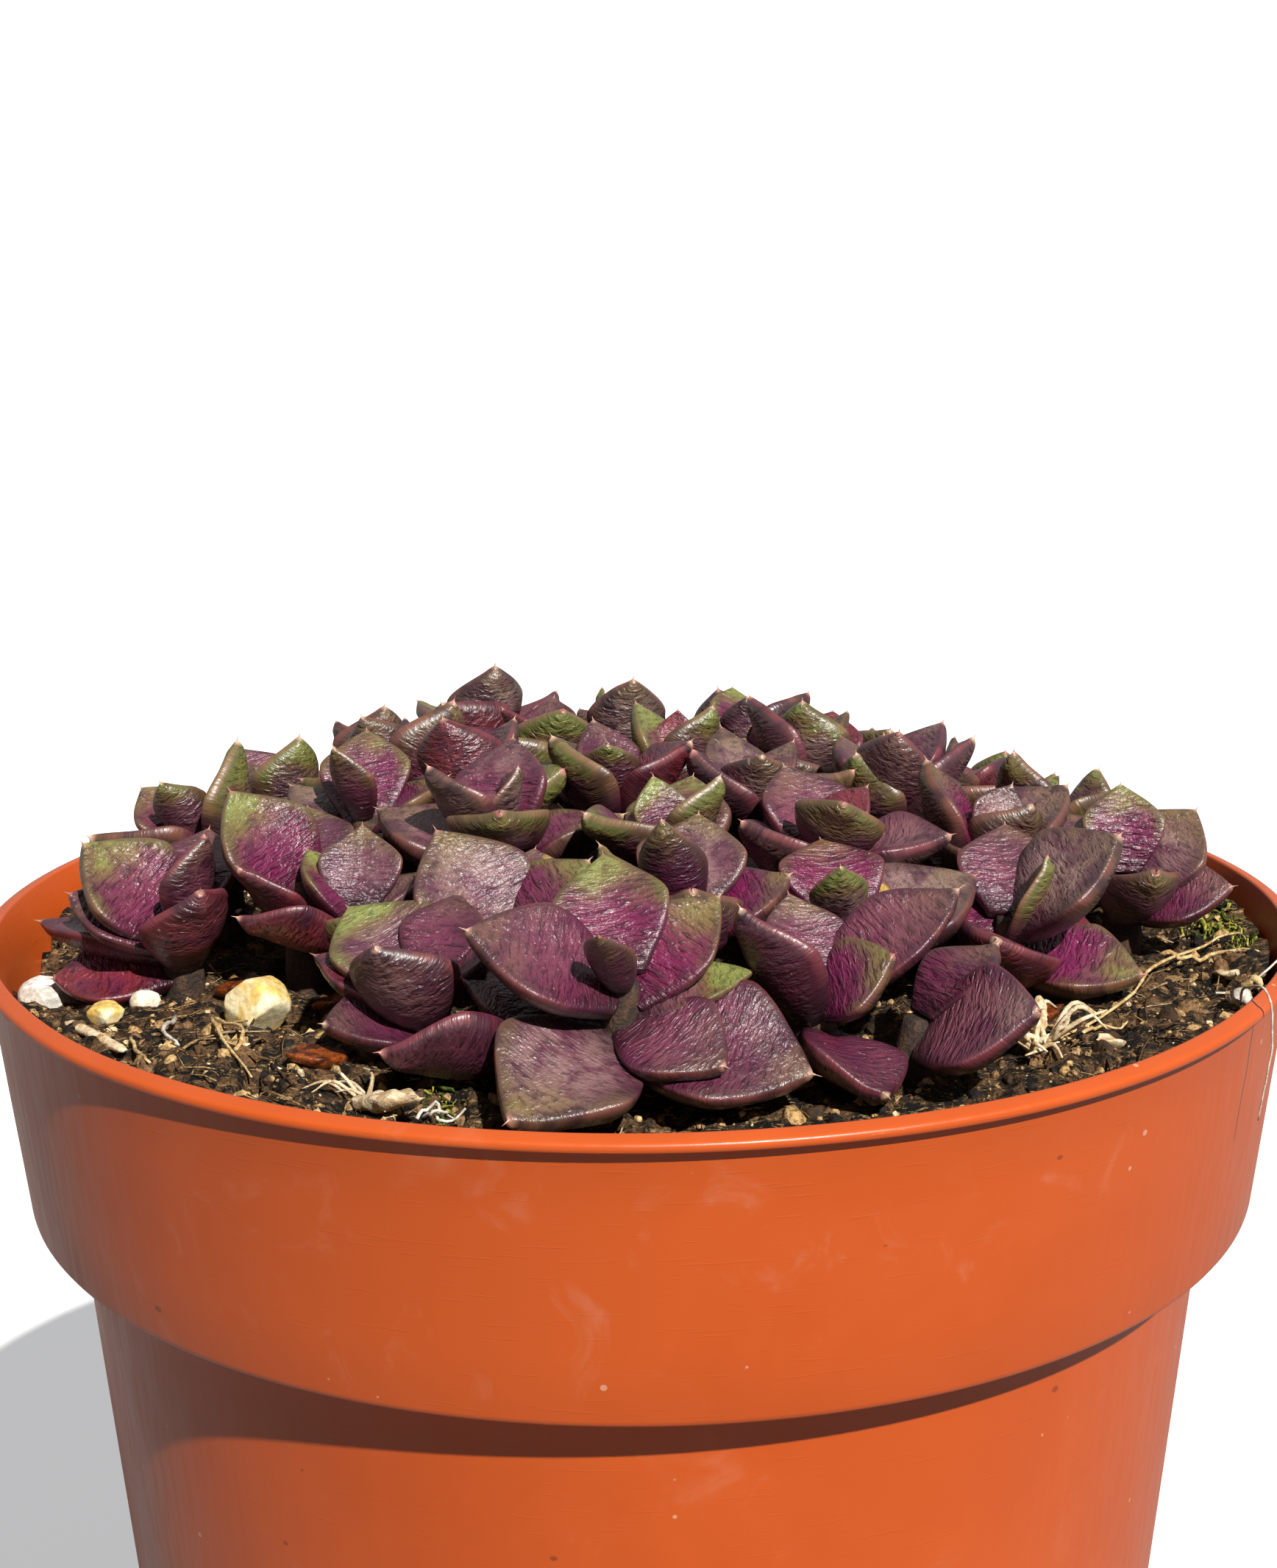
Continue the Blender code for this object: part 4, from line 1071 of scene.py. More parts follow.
def stem_mesh(crown):
    """A stem from its hole in the soil to the rosette's heart."""
    axis, neck = crown_axis(crown), crown_neck(crown)
    foot = Vector((crown.x, crown.y, soil_height(crown.x, crown.y) - STEM_ROOT))
    heart = neck + axis * leafy_length(crown)
    stations = ((foot, UP, 1.0), (neck, UP, 1.0), (heart, axis, 0.6))
    points = []
    for centre, direction, size in stations:
        turn = UP.rotation_difference(direction)
        for x, y in spokes(STEM_SIDES):
            points.append(centre + turn @ Vector((x, y, 0)) * STEM_RADIUS * size)
    return points, ring_faces(len(stations), STEM_SIDES)


def grown_leaves(crown, rng):
    """The leaves of a rosette: a golden angle apart, and steeper and smaller towards its heart."""
    if not isinstance(crown.leaves, int):
        return crown.leaves
    leaves = []
    for k, (rise, length, width) in enumerate(LEAF_ORDER[-crown.leaves :]):
        leaves.append(
            Leaf(
                crown.turn + GOLDEN_ANGLE * k + rng.uniform(-9, 9),
                rise + rng.uniform(-5, 7),
                LEAF_LENGTH * length * crown.size * rng.uniform(0.92, 1.08),
                LEAF_WIDTH * width * crown.size * rng.uniform(0.9, 1.08),
                rng.uniform(-14, 14),
                rng.uniform(-0.14, 0.06),
                rng.uniform(0.08, 0.2),
            )
        )
    return leaves


def bends():
    """What a leaf tries in turn, the least first: more rise, more bearing, and less size."""
    tries = [
        (rise, bearing, size)
        for rise in (0, 6, -6, 12, 20, -12, 30)
        for bearing in (0, 8, -8, 16, -16)
        for size in (1.0, 0.92, 0.84, 0.72)
    ]
    return sorted(tries, key=lambda t: abs(t[0]) / 10 + abs(t[1]) / 9 + (1 - t[2]) * 12)


def settled(leaf, root, axis, strangers, siblings):
    """The leaf bent by the least that keeps it clear of other pieces and of its rosette's lower leaves."""
    for rise, bearing, size in bends():
        tried = leaf._replace(
            rise=leaf.rise + rise,
            bearing=leaf.bearing + bearing,
            length=leaf.length * size,
            width=leaf.width * size,
        )
        swollen = tree_of(*leaf_mesh(tried, root, axis, grow=FIT_GAP))
        if any(swollen.overlap(other) for other in strangers):
            continue
        core = tried._replace(width=tried.width * CORE_SHARE, length=tried.length * 0.95)
        points, faces = leaf_mesh(core, root, axis)
        blade = tree_of(points, [f for f in faces if 0 not in f])
        if not any(blade.overlap(other) for other in siblings):
            return tried, blade, tree_of(*leaf_mesh(tried, root, axis))
    return None


def grown_mat(obstacles):
    """Each rosette with its leaves and their roots, clear of the obstacles and of earlier rosettes."""
    rng = random.Random(SEED)
    leaf_trees = []
    mat = []
    for crown in CROWNS:
        axis, neck = crown_axis(crown), crown_neck(crown)
        stems = [tree_of(*stem_mesh(other)) for other in CROWNS if other is not crown]
        strangers = obstacles + stems + leaf_trees
        siblings, own, placed = [], [], []
        leaves = grown_leaves(crown, rng)
        for k, leaf in enumerate(leaves):
            root = neck + axis * leafy_length(crown) * (k + 0.5) / len(leaves)
            found = settled(leaf, root, axis, strangers, siblings)
            if found:
                placed.append((k, found[0], root))
                siblings.append(found[1])
                own.append(found[2])
        leaf_trees += own
        mat.append((crown, axis, placed))
    return mat


def tree_of_object(made):
    points = [v.co / MM for v in made.data.vertices]
    return tree_of(points, [tuple(p.vertices) for p in made.data.polygons])


# The leaves in full


def leaf_relief(x, y, edge, upper, seed):
    """How far a leaf's skin stands out, from wrinkles across it and a bead along its margin."""
    place = np.stack([x / WRINKLE_REACH, y / WRINKLE_STEP, np.full_like(x, seed * 3.1)], axis=-1)
    warp = lattice_noise(np.stack([x / 2.5, y / 2.5, np.full_like(x, seed * 1.7)], axis=-1), 5)
    place[..., 1] += warp * 1.3
    wrinkle = 1 - 2 * np.abs(rough_noise(place, 2, 3))
    calm = 1 - ease(edge, 0.7, 0.95)
    bead = np.exp(-(((edge - 0.94) / 0.06) ** 2)) * upper
    return WRINKLE_RISE * wrinkle * calm + BEAD_RISE * bead


def fine_leaf(leaf, root, axis, stations, sides, seed):
    """Points of a finely divided leaf with its poles, their UV places and their spot values."""
    body = np.linspace(ROOT_STATION, POINT_START, stations)
    tip = np.linspace(POINT_START, POINT_END, TIP_STATIONS + 1)[1:-1]
    ring = np.arange(sides) * 2 * np.pi / sides
    u, theta = np.meshgrid(np.concatenate([body, tip]), ring, indexing="ij")
    local = leaf_surface(leaf, u, theta, FINE_TIP_CURVE, FINE_POINT_RADIUS)
    edge = np.abs(np.cos(theta)) ** MARGIN_ROUND
    lift = np.sin(theta)
    x, y = local[..., 0], local[..., 1]
    flat = np.stack([x, y, np.full_like(x, seed * 2.3)], axis=-1)
    fade = ease(u, 0.05, 0.2) * (1 - ease(u, 0.88, 0.97))
    relief = leaf_relief(x, y, edge, ease(lift, 0, 0.3), seed) * fade
    keel = np.exp(-((edge / 0.22) ** 2)) * ease(-lift, 0, 0.6) * ease(u, 0.1, 0.5) * fade
    local[..., 2] += relief * lift - KEEL_RISE * leaf.width * keel
    local[..., 2] += LEAF_WAVE * lattice_noise(flat / 4.5, 7) * fade
    local[..., 0] += MARGIN_WAVE * lattice_noise(flat / 3.5 + 9, 8) * edge * fade
    start = np.array(root + leaf_frame(leaf, axis)[1] * ROOT_REACH)
    spot = np.stack([u, edge, (lift + 1) / 2, np.full_like(u, seed)], axis=-1)

    def with_poles(grid):
        flat_grid = grid.reshape(-1, grid.shape[-1])
        return np.concatenate([grid[0].mean(axis=0)[None], flat_grid, grid[-1].mean(axis=0)[None]])

    local, spot = with_poles(local), with_poles(spot)
    end = leaf_surface(leaf, np.array([POINT_END] * 2), np.array([0.0, np.pi])).mean(axis=0)
    local[-1] = end
    spot[-1, 0] = POINT_END
    points = start + local @ np.array(leaf_frame(leaf, axis))
    return points, local[:, :2], spot, tube_faces(stations + TIP_STATIONS - 1, sides)


def fine_stem(crown):
    """A rough stem from its hole in the soil to the rosette's heart."""
    axis, neck = crown_axis(crown), crown_neck(crown)
    foot = Vector((crown.x, crown.y, soil_height(crown.x, crown.y) - STEM_ROOT))
    heart = neck + axis * leafy_length(crown)
    rings, sides = STEM_DETAIL
    points = [foot]
    for r in range(rings):
        t = r / (rings - 1) * 2
        centre = foot.lerp(neck, min(t, 1)) if t <= 1 else neck.lerp(heart, t - 1)
        turn = UP.rotation_difference(UP if t < 1 else axis)
        size = STEM_RADIUS * (1 if t < 1 else 1 - 0.4 * (t - 1))
        for x, y in spokes(sides):
            points.append(centre + turn @ Vector((x, y, 0)) * size)
    points.append(heart)
    points = np.array(points)
    points[:, :2] += 0.12 * lattice_noise(points / 0.8, 4)[:, None]
    return points, tube_faces(rings, sides)


def grown_crown(index, crown, axis, placed, materials):
    """One rosette's leaves and stem as one piece."""
    detail = NEAR_DETAIL if index < HAND_CROWNS else FAR_DETAIL
    names = HAND_TONES.get(crown.name, "").split()
    rng = random.Random(index)
    stem, stem_faces = fine_stem(crown)
    bare = np.zeros((len(stem), 4))
    parts, flats, spots, tones = [(stem, stem_faces)], [stem[:, :2]], [bare], [bare]
    for order, leaf, root in placed:
        name = names[order] if order < len(names) else rng.choice(OTHER_TONES)
        tone = [max(0, value + rng.uniform(-0.1, 0.1)) for value in TONES[name]]
        points, flat, spot, faces = fine_leaf(leaf, root, axis, *detail, index * SEEDS_A_CROWN + order)
        parts.append((points, faces))
        flats.append(flat)
        spots.append(spot)
        tones.append(np.tile(tone, (len(points), 1)))
    made = new_object(f"{crown.name}_leaves", *merged(parts), materials)
    paint_uv(made, "leaf_mm", np.concatenate(flats))
    paint_points(made, "spot", np.concatenate(spots))
    paint_points(made, "tone", np.concatenate(tones))
    slots = np.zeros(len(made.data.polygons), dtype=int)
    slots[: len(stem_faces)] = 1
    made.data.polygons.foreach_set("material_index", slots)
    return piece(made, crown.name)


# The pot


def rounded(corners, steps=4):
    """A closed outline of (radius, height, rounding) corners, with each corner rounded."""
    outline = []
    for k, (*place, radius) in enumerate(corners):
        corner = np.array(place)
        before = np.array(corners[k - 1][:2]) - corner
        after = np.array(corners[(k + 1) % len(corners)][:2]) - corner
        start = corner + before / np.linalg.norm(before) * radius
        end = corner + after / np.linalg.norm(after) * radius
        for step in range(steps + 1):
            t = step / steps
            outline.append((1 - t) ** 2 * start + 2 * t * (1 - t) * corner + t * t * end)
    return outline


def pot_section():
    """Radius and height along the pot's section, from its underside round the rim to its floor."""
    recess_radius = FOOT_RADIUS - FOOT_RING_WIDTH
    outline = rounded((
        (recess_radius - FOOT_RECESS, FOOT_RECESS, 0.4),
        (recess_radius, 0.0, 0.4),
        (FOOT_RADIUS, 0.0, 0.5),
        (BODY_TOP_RADIUS, SHOULDER, 0.3),
        (COLLAR_FOOT_RADIUS, SHOULDER, 0.6),
        (COLLAR_TOP_RADIUS + LIP_FILLET, POT_HEIGHT - FINE_LIP, 0.15),
        (RIM_RADIUS, POT_HEIGHT - FINE_LIP, 0.3),
        (RIM_RADIUS, POT_HEIGHT - LIP_SLOPE, 0.3),
        (COLLAR_TOP_RADIUS - LIP_INSET, POT_HEIGHT, 0.25),
        (COLLAR_TOP_RADIUS - WALL, POT_HEIGHT - FLARE_DEPTH, 1.0),
        (COLLAR_FOOT_RADIUS - WALL, SHOULDER + WALL, 0.4),
        (BODY_TOP_RADIUS - WALL, SHOULDER + WALL, 0.4),
        (FOOT_RADIUS - WALL, FLOOR_TOP, 0.6),
    ))
    outline = [np.array((0.0, FOOT_RECESS))] + outline + [np.array((0.0, FLOOR_TOP))]
    section = [outline[0]]
    for low, high in zip(outline, outline[1:]):
        steps = max(1, int(np.linalg.norm(high - low) // POT_STEP))
        section += [low + (high - low) * (k + 1) / steps for k in range(steps)]
    return np.array(section)


def make_pot(material):
    """The moulded pot with rounded edges, a rim that is a little uneven, and drain holes."""
    rings = pot_section()[1:-1]
    angles = 2 * np.pi * np.arange(POT_SIDES) / POT_SIDES
    outward = np.stack([np.cos(angles), np.sin(angles)], axis=-1)
    points = np.zeros((len(rings), POT_SIDES, 3))
    points[..., :2] = rings[:, None, :1] * outward
    points[..., 2] = rings[:, None, 1]
    wobble = lattice_noise(points / 14 + 20, 2) * RIM_WOBBLE * ease(points[..., 2], 60, 90)
    points[..., :2] += outward * wobble[..., None]
    points[..., 2] -= FRONT_DROOP * ease(-points[..., 1], 20, 50) * ease(points[..., 2], 72, 91)
    points = np.concatenate([[(0, 0, FOOT_RECESS)], points.reshape(-1, 3), [(0, 0, FLOOR_TOP)]])
    pot = new_object("pot_fine", points, tube_faces(len(rings), POT_SIDES), [material])
    return piece(drilled(pot), "pot")


def drilled(pot):
    """The pot with its drain holes cut through its floor."""
    cutters = bpy.data.collections.new("drain_cutters")
    bpy.context.scene.collection.children.link(cutters)
    for hole in range(DRAIN_HOLES):
        angle = 2 * math.pi * (hole + 0.5) / DRAIN_HOLES
        cutter = drain_cutter(DRAIN_CIRCLE * math.cos(angle), DRAIN_CIRCLE * math.sin(angle))
        bpy.context.scene.collection.objects.unlink(cutter)
        cutters.objects.link(cutter)
    modifier = pot.modifiers.new("holes", "BOOLEAN")
    modifier.operation = "DIFFERENCE"
    modifier.operand_type = "COLLECTION"
    modifier.collection = cutters
    pot = evaluated_copy(pot, "pot_fine")
    for cutter in list(cutters.objects):
        bpy.data.objects.remove(cutter)
    bpy.data.collections.remove(cutters)
    return pot


def drain_cutter(x, y):
    points = []
    for height in (-1.0, FLOOR_TOP + 1.0):
        for across, along in spokes(DRAIN_SIDES):
            points.append((x + DRAIN_RADIUS * across, y + DRAIN_RADIUS * along, height))
    return new_object("drain", points, ring_faces(2, DRAIN_SIDES))


# The soil


def soil_top(x, y):
    """The soil's top with its clods and pits, for arrays of x and y."""
    height = np.array([soil_height(a, b) for a, b in zip(x.ravel(), y.ravel())]).reshape(x.shape)
    for heap_x, heap_y, reach_x, reach_y, rise in FINE_HEAPS:
        height = height + rise * np.exp(-(((x - heap_x) / reach_x) ** 2) - ((y - heap_y) / reach_y) ** 2)
    place = np.stack([x, y, np.zeros_like(x)], axis=-1)
    clods = CLOD_RISE * rough_noise(place / CLOD_SPAN + 30, 3, 11)
    grit = GRIT_RISE * (1 - 2 * np.abs(lattice_noise(place / GRIT_SPAN, 13)))
    pits = -PIT_DEPTH * ease(lattice_noise(place / PIT_SPAN + 50, 12), 0.3, 0.7)
    return height + (clods + grit) + pits


def soil_sheet(count, reach):
    """Points and faces of a round sheet on the soil's top, with the grid of its points' numbers."""
    side = np.linspace(-1, 1, count)
    a, b = np.meshgrid(side, side, indexing="ij")
    x, y = reach * a * np.sqrt(1 - b * b / 2), reach * b * np.sqrt(1 - a * a / 2)
    points = np.stack([x, y, soil_top(x, y)], axis=-1).reshape(-1, 3)
    index = np.arange(count**2).reshape(count, count)
    corners = (index[:-1, :-1], index[1:, :-1], index[1:, 1:], index[:-1, 1:])
    return points, np.stack([c.ravel() for c in corners], axis=-1).tolist(), index


def make_soil(material):
    """The root ball, with a crumbly top that follows the CAD's."""
    top, faces, index = soil_sheet(SOIL_GRID, collar_radius(SOIL_LEVEL) - WALL - SOIL_RIM_GAP)
    rim = np.concatenate([index[:-1, 0], index[-1, :-1], index[:0:-1, -1], index[0, :0:-1]])
    outward = top[rim][:, :2] / np.linalg.norm(top[rim][:, :2], axis=1)[:, None]
    shoulder, floor = SHOULDER + WALL + FIT_GAP, FLOOR_TOP + FIT_GAP
    clear = WALL + BALL_GAP
    levels = (
        (COLLAR_FOOT_RADIUS - clear, shoulder),
        (body_radius(shoulder) - clear, shoulder),
        (body_radius(floor) - clear, floor),
    )
    points, above = [top], rim
    for radius, height in levels:
        below = sum(len(p) for p in points) + np.arange(len(rim))
        points.append(np.column_stack([outward * radius, np.full(len(rim), height)]))
        faces += np.stack([above, below, np.roll(below, -1), np.roll(above, -1)], axis=-1).tolist()
        above = below
    faces.append(above[::-1].tolist())
    made = new_object("soil_fine", np.concatenate(points), faces, [material])
    fix_normals(made)
    return piece(made, "soil")


def fix_normals(made):
    shape = bmesh.new()
    shape.from_mesh(made.data)
    bmesh.ops.recalc_face_normals(shape, faces=shape.faces)
    shape.to_mesh(made.data)
    shape.free()


# What lies on the soil


def chipped(points, cuts, seed):
    """Points pressed in to flat faces set at random round their middle."""
    rng = np.random.default_rng(seed)
    middle = points.mean(axis=0)
    points = points - middle
    for facing in rng.normal(size=(cuts, 3)):
        facing /= np.linalg.norm(facing)
        reach = points @ facing
        over = np.maximum(reach - reach.max() * rng.uniform(0.72, 0.92), 0)
        points = points - over[:, None] * facing * 0.92
    return points + middle


def softened(node, name, material, swell, rough, grain, cuts=0):
    """A finer copy of a CAD node, rounded or chipped, with a rough skin."""
    mesh = node.data.copy()
    shape = bmesh.new()
    shape.from_mesh(mesh)
    bmesh.ops.remove_doubles(shape, verts=shape.verts, dist=WELD)
    shape.to_mesh(mesh)
    shape.free()
    made = linked(name, mesh)
    modifier = made.modifiers.new("round", "SUBSURF")
    modifier.levels = modifier.render_levels = SOFT_LEVELS
    made = evaluated_copy(made, name)
    points = np.array([v.co for v in made.data.vertices]) / MM
    normals = np.array([v.normal for v in made.data.vertices])
    centre = (points.max(axis=0) + points.min(axis=0)) / 2
    points = chipped(centre + (points - centre) * swell, cuts, len(name))
    points += normals * (rough_noise(points / grain, 3, 21) * rough)[:, None]
    made.data.vertices.foreach_set("co", (points * MM).ravel())
    made.data.polygons.foreach_set("use_smooth", [True] * len(made.data.polygons))
    made.data.materials.clear()
    made.data.materials.append(material)
    made.data.update()
    return made


def lying_leaf(name, x, y, length, width, bearing, rise, material, seed, shrivel=0.25):
    """A fallen leaf or husk, shrivelled, bedded in the soil."""
    leaf = Leaf(bearing, rise, length, width, arch=0.1, dish=0.1)
    root = Vector((x, y, soil_height(x, y) + LYING_BED))
    points, _, _, faces = fine_leaf(leaf, root, UP, *LITTER_DETAIL, seed)
    curl = rough_noise(points[:, None] / 1.6, 2, seed).reshape(-1, 1) * np.array([0.6, 0.6, 1.0])
    return new_object(name, points + shrivel * curl, faces, [material])


def strand_mesh(route, radii, sides=6, wander=0.0, seed=0, steps=5):
    """A closed tube along a route, smoothed through its points, as points and faces."""
    route = np.array(route, dtype=float)
    padded = np.concatenate([2 * route[:1] - route[1:2], route, 2 * route[-1:] - route[-2:-1]])
    stations = []
    for a, b, c, d in zip(padded, padded[1:], padded[2:], padded[3:]):
        for t in np.linspace(0, 1, steps, endpoint=False):
            cubic = (2 * a - 5 * b + 4 * c - d) * t * t + (3 * b - 3 * c + d - a) * t**3
            stations.append(0.5 * (2 * b + (c - a) * t + cubic))
    stations.append(route[-1])
    stations = np.array(stations)
    reach = np.linspace(0, 1, len(stations))
    for axis in range(3):
        drift = lattice_noise(np.stack([reach * 9, reach * 0 + axis, reach * 0 + seed], axis=-1), seed)
        stations[:, axis] += wander * drift
    widths = np.interp(reach, np.linspace(0, 1, len(radii)), radii)
    directions = np.gradient(stations, axis=0)
    points = [stations[0]]
    for centre, direction, width in zip(stations, directions, widths):
        along = Vector(direction).normalized()
        side = along.orthogonal().normalized() if abs(along.z) > 0.95 else along.cross(UP).normalized()
        other = along.cross(side)
        for x, y in spokes(sides):
            points.append(centre + np.array(side * x + other * y) * width)
    points.append(stations[-1])
    return points, tube_faces(len(stations), sides)


def strands(name, routes, material, **shape):
    """Several strands as one piece."""
    parts = [strand_mesh(route, radii, seed=k, **shape) for k, (route, radii) in enumerate(routes)]
    return piece(new_object(name, *merged(parts), [material]))


def on_soil(x, y, above=0.3):
    height = float(soil_top(np.array([x]), np.array([y]))[0])
    return (x, y, max(height, soil_height(x, y)) + above)


def frayed(name, x, y, material, count, reach, seed, width):
    """Thin dry blades that fan out from a spot on the soil."""
    rng = random.Random(seed)
    routes = []
    for _ in range(count):
        bearing = rng.uniform(0, 360)
        far = reach * rng.uniform(0.45, 1.0)
        out = bearing_vector(bearing) * far
        side = bearing_vector(bearing + 90) * far * rng.uniform(-0.3, 0.3)
        rise = rng.uniform(0.25, 0.95) * far
        start = Vector(on_soil(x + rng.uniform(-0.8, 0.8), y + rng.uniform(-0.8, 0.8), 0.2))
        middle = start + out * 0.5 + side + UP * rise * 0.8
        tip = start + out + UP * rise * rng.uniform(0.2, 1.0)
        routes.append(([start, middle, tip], (width, width, width / 3)))
    return strands(name, routes, material, sides=4)


def make_stones(nodes):
    yellow = mottled("yellow_stone")
    stones = {
        "stone_yellow": (yellow, (1.12, 1.12, 1.5)),
        "stone_yellow_small": (yellow, 1.08),
        "stone_cream": (mottled("cream_stone"), 1.06),
        "stone_white": (mottled("white_stone"), (1.3, 1.3, 1.4)),
    }
    for name, (look, swell) in stones.items():
        fine = softened(nodes[name], f"{name}_fine", look, swell, 0.06, 0.9, cuts=STONE_CUTS)
        piece(fine, name)


def make_litter(nodes):
    """Fallen leaves, straws, the husk and papery bits."""
    amber = mottled("fallen_leaf", Subsurface_Weight=0.25, Subsurface_Scale=MM)
    straw, papery = mottled("straw"), mottled("husk")
    for order, (name, *place) in enumerate(FALLEN_LEAVES):
        piece(lying_leaf(f"{name}_fine", *place, amber, FALLEN_SEED + order), name)
    piece(lying_leaf("husk_fine", *HUSK, papery, HUSK_SEED, 0.5), "husk")
    for name, swell, rough in (("straw_tuft", 1.05, 0.3), ("straw", 1.0, 0.1)):
        piece(softened(nodes[name], f"{name}_fine", straw, swell, rough, 0.5), name)
    frayed("tuft_blades", *TUFT_KNOT, straw, count=20, reach=4.2, seed=4, width=0.2)
    frayed("husk_blades", *HUSK_TIP, papery, count=9, reach=3.4, seed=6, width=0.14)
    for order, place in enumerate(PAPERY_BITS):
        piece(lying_leaf(f"papery_bit_{order}", *place, straw, PAPERY_SEED + order, 0.5))


def lying(radii, *spots):
    """A strand's route over spots on the soil, and its radii."""
    return [on_soil(*spot) for spot in spots], radii


def make_strands():
    """The longer straws, roots and hairs, each given one by one."""
    golden, pale = mottled("golden_fibre"), mottled("white_root")
    folded = [
        lying((0.16, 0.14, 0.07), (-30.2, -25.8, 0.9), (-28.6, -31, 0.7), (-25.5, -37.1)),
        lying((0.12, 0.14, 0.2), (-30.2, -25.8, 0.9), (-27, -31, 0.9), (-27.2, -33.5)),
        lying((0.14, 0.16, 0.1), (-35.8, -26.5), (-34.6, -30), (-33, -33.4)),
    ]
    strands("golden_straws", folded, golden, wander=0.12)
    main_root = [(29, -29, 0.2), (35.5, -21.5, 0.7), (39.6, -15.4, 0.9), (44.5, -9.4, 0.7), (47, -8.4, 0.9)]
    root = [
        lying((0.09, 0.14, 0.12, 0.09, 0.05), *main_root, (47.2, -12, 0.3)),
        lying((0.16, 0.14, 0.07), (29.5, -29.2, 0.2), (32, -27.5, 0.4), (34.4, -25.9, 0.3)),
        lying((0.16, 0.18, 0.09), (41, -14.5, 0.9), (44, -13.2, 0.6), (47, -14, 0.3)),
        lying((0.3, 0.4, 0.2), (44.4, -20, 0.4), (44.8, -21, 0.9), (45.6, -21.8, 0.4)),
    ]
    strands("yellow_root", root, golden, wander=0.35)
    rim_top = POT_HEIGHT + 0.2
    lifted = [on_soil(42, -22, 0.4), on_soil(45, -20, 1.0), (49.5, -16.5, rim_top), (54, -14, rim_top + 1)]
    over = [on_soil(43, -24.5, 0.6), (42.6, -27.5, rim_top + 0.3), (43.1, -30.3, rim_top + 0.4)]
    hanging = over + [(43.6, -31, rim_top - 3), (43.0, -31, rim_top - 6), (42.7, -30.8, rim_top - 8.5)]
    bud = lying((0.35, 0.7, 0.3), (42.6, -23.6, 0.6), (43.2, -24.2, 1.1), (43.4, -25, 0.8))
    hairs = [(lifted, (0.1, 0.09, 0.06)), (hanging, (0.1, 0.08, 0.05)), bud]
    strands("white_hairs", hairs, pale, wander=0.15)
    curled_end = [(-12.5, -40.7, 0.5), (-11.3, -40.2, 1.0)]
    white = [
        lying((0.2, 0.16, 0.1), (-33.6, -21.9), (-33.1, -27.8, 0.6), (-31.6, -31.3)),
        lying((0.13, 0.12, 0.08), (-14.2, -40.6), (-13.2, -39.6, 1.2), *curled_end),
        lying((0.1, 0.12, 0.08), (-13.8, -39.5), (-13.0, -40.8, 1.2), (-12.0, -39.7, 0.4)),
    ]
    strands("white_roots", white, pale, wander=0.2)


# What is strewn over the soil


def strewn_points(graph, given):
    """Points on the bed, as densely as one of its attributes says, and the size of what lies on each."""
    open_soil = graph.add("GeometryNodeInputNamedAttribute", {"Name": given["Where"]})
    density = graph.times(given["Density"], open_soil)
    values = {"Mesh": given["Bed"], "Density": density, "Seed": given["Seed"]}
    points = graph.add("GeometryNodeDistributePointsOnFaces", values)
    chance = graph.random(0.0, 1.0, given["Seed"], 1)
    growth = graph.times(chance, chance, chance)
    size = graph.add("ShaderNodeMapRange", {"Value": growth, 3: given["Smallest"], 4: given["Largest"]})
    offset = graph.add("ShaderNodeCombineXYZ", {2: graph.times(size, given["Sunk"], -MM)})
    return graph.add("GeometryNodeSetPosition", {"Geometry": points, "Offset": offset}), size


def scatter_tree():
    """Strews a shape over a bed and gives each copy a size, a turn and a tint of its own."""
    graph, given, result = new_group("scatter", SCATTER_INPUTS, {"Strewn": "Geometry"}, "Geometry")
    points, size = strewn_points(graph, given)
    back = graph.times(given["Lean"], -1.0)
    turn = {
        0: graph.random(back, given["Lean"], given["Seed"], 2),
        1: graph.random(back, given["Lean"], given["Seed"], 3),
        2: graph.random(0.0, 2 * math.pi, given["Seed"], 4),
    }
    shape = graph.add("GeometryNodeObjectInfo", {"Object": given["Shape"], "As Instance": True}, 4)
    turned = graph.add("ShaderNodeCombineXYZ", turn)
    values = {"Points": points, "Instance": shape, "Rotation": turned, "Scale": size}
    strewn = graph.add("GeometryNodeInstanceOnPoints", values)
    values = {"Geometry": strewn, "Name": "tint", "Value": graph.random(0.0, 1.0, given["Seed"], 5)}
    strewn = graph.add("GeometryNodeStoreNamedAttribute", values, data_type="FLOAT", domain="INSTANCE")
    strewn = graph.add("GeometryNodeRealizeInstances", {0: strewn})
    strewn = graph.add("GeometryNodeSetMaterial", {"Geometry": strewn, "Material": given["Look"]})
    graph.link(strewn, result, "Strewn")
    return graph.tree


def strew(tree, bed, shapes, kind):
    """One piece of many small shapes strewn over the bed."""
    made = linked(kind.name, bed.data.copy())
    modifier = made.modifiers.new("scatter", "NODES")
    modifier.node_group = tree
    sockets = {item.name: item.identifier for item in tree.interface.items_tree if item.in_out == "INPUT"}
    values = {"Shape": shapes[kind.shape], "Look": crumb_look(kind.look)}
    for label in SCATTER_INPUTS:
        if label != "Bed":
            modifier[sockets[label]] = values.get(label, getattr(kind, label.lower()))
    return piece(evaluated_copy(made, kind.name))


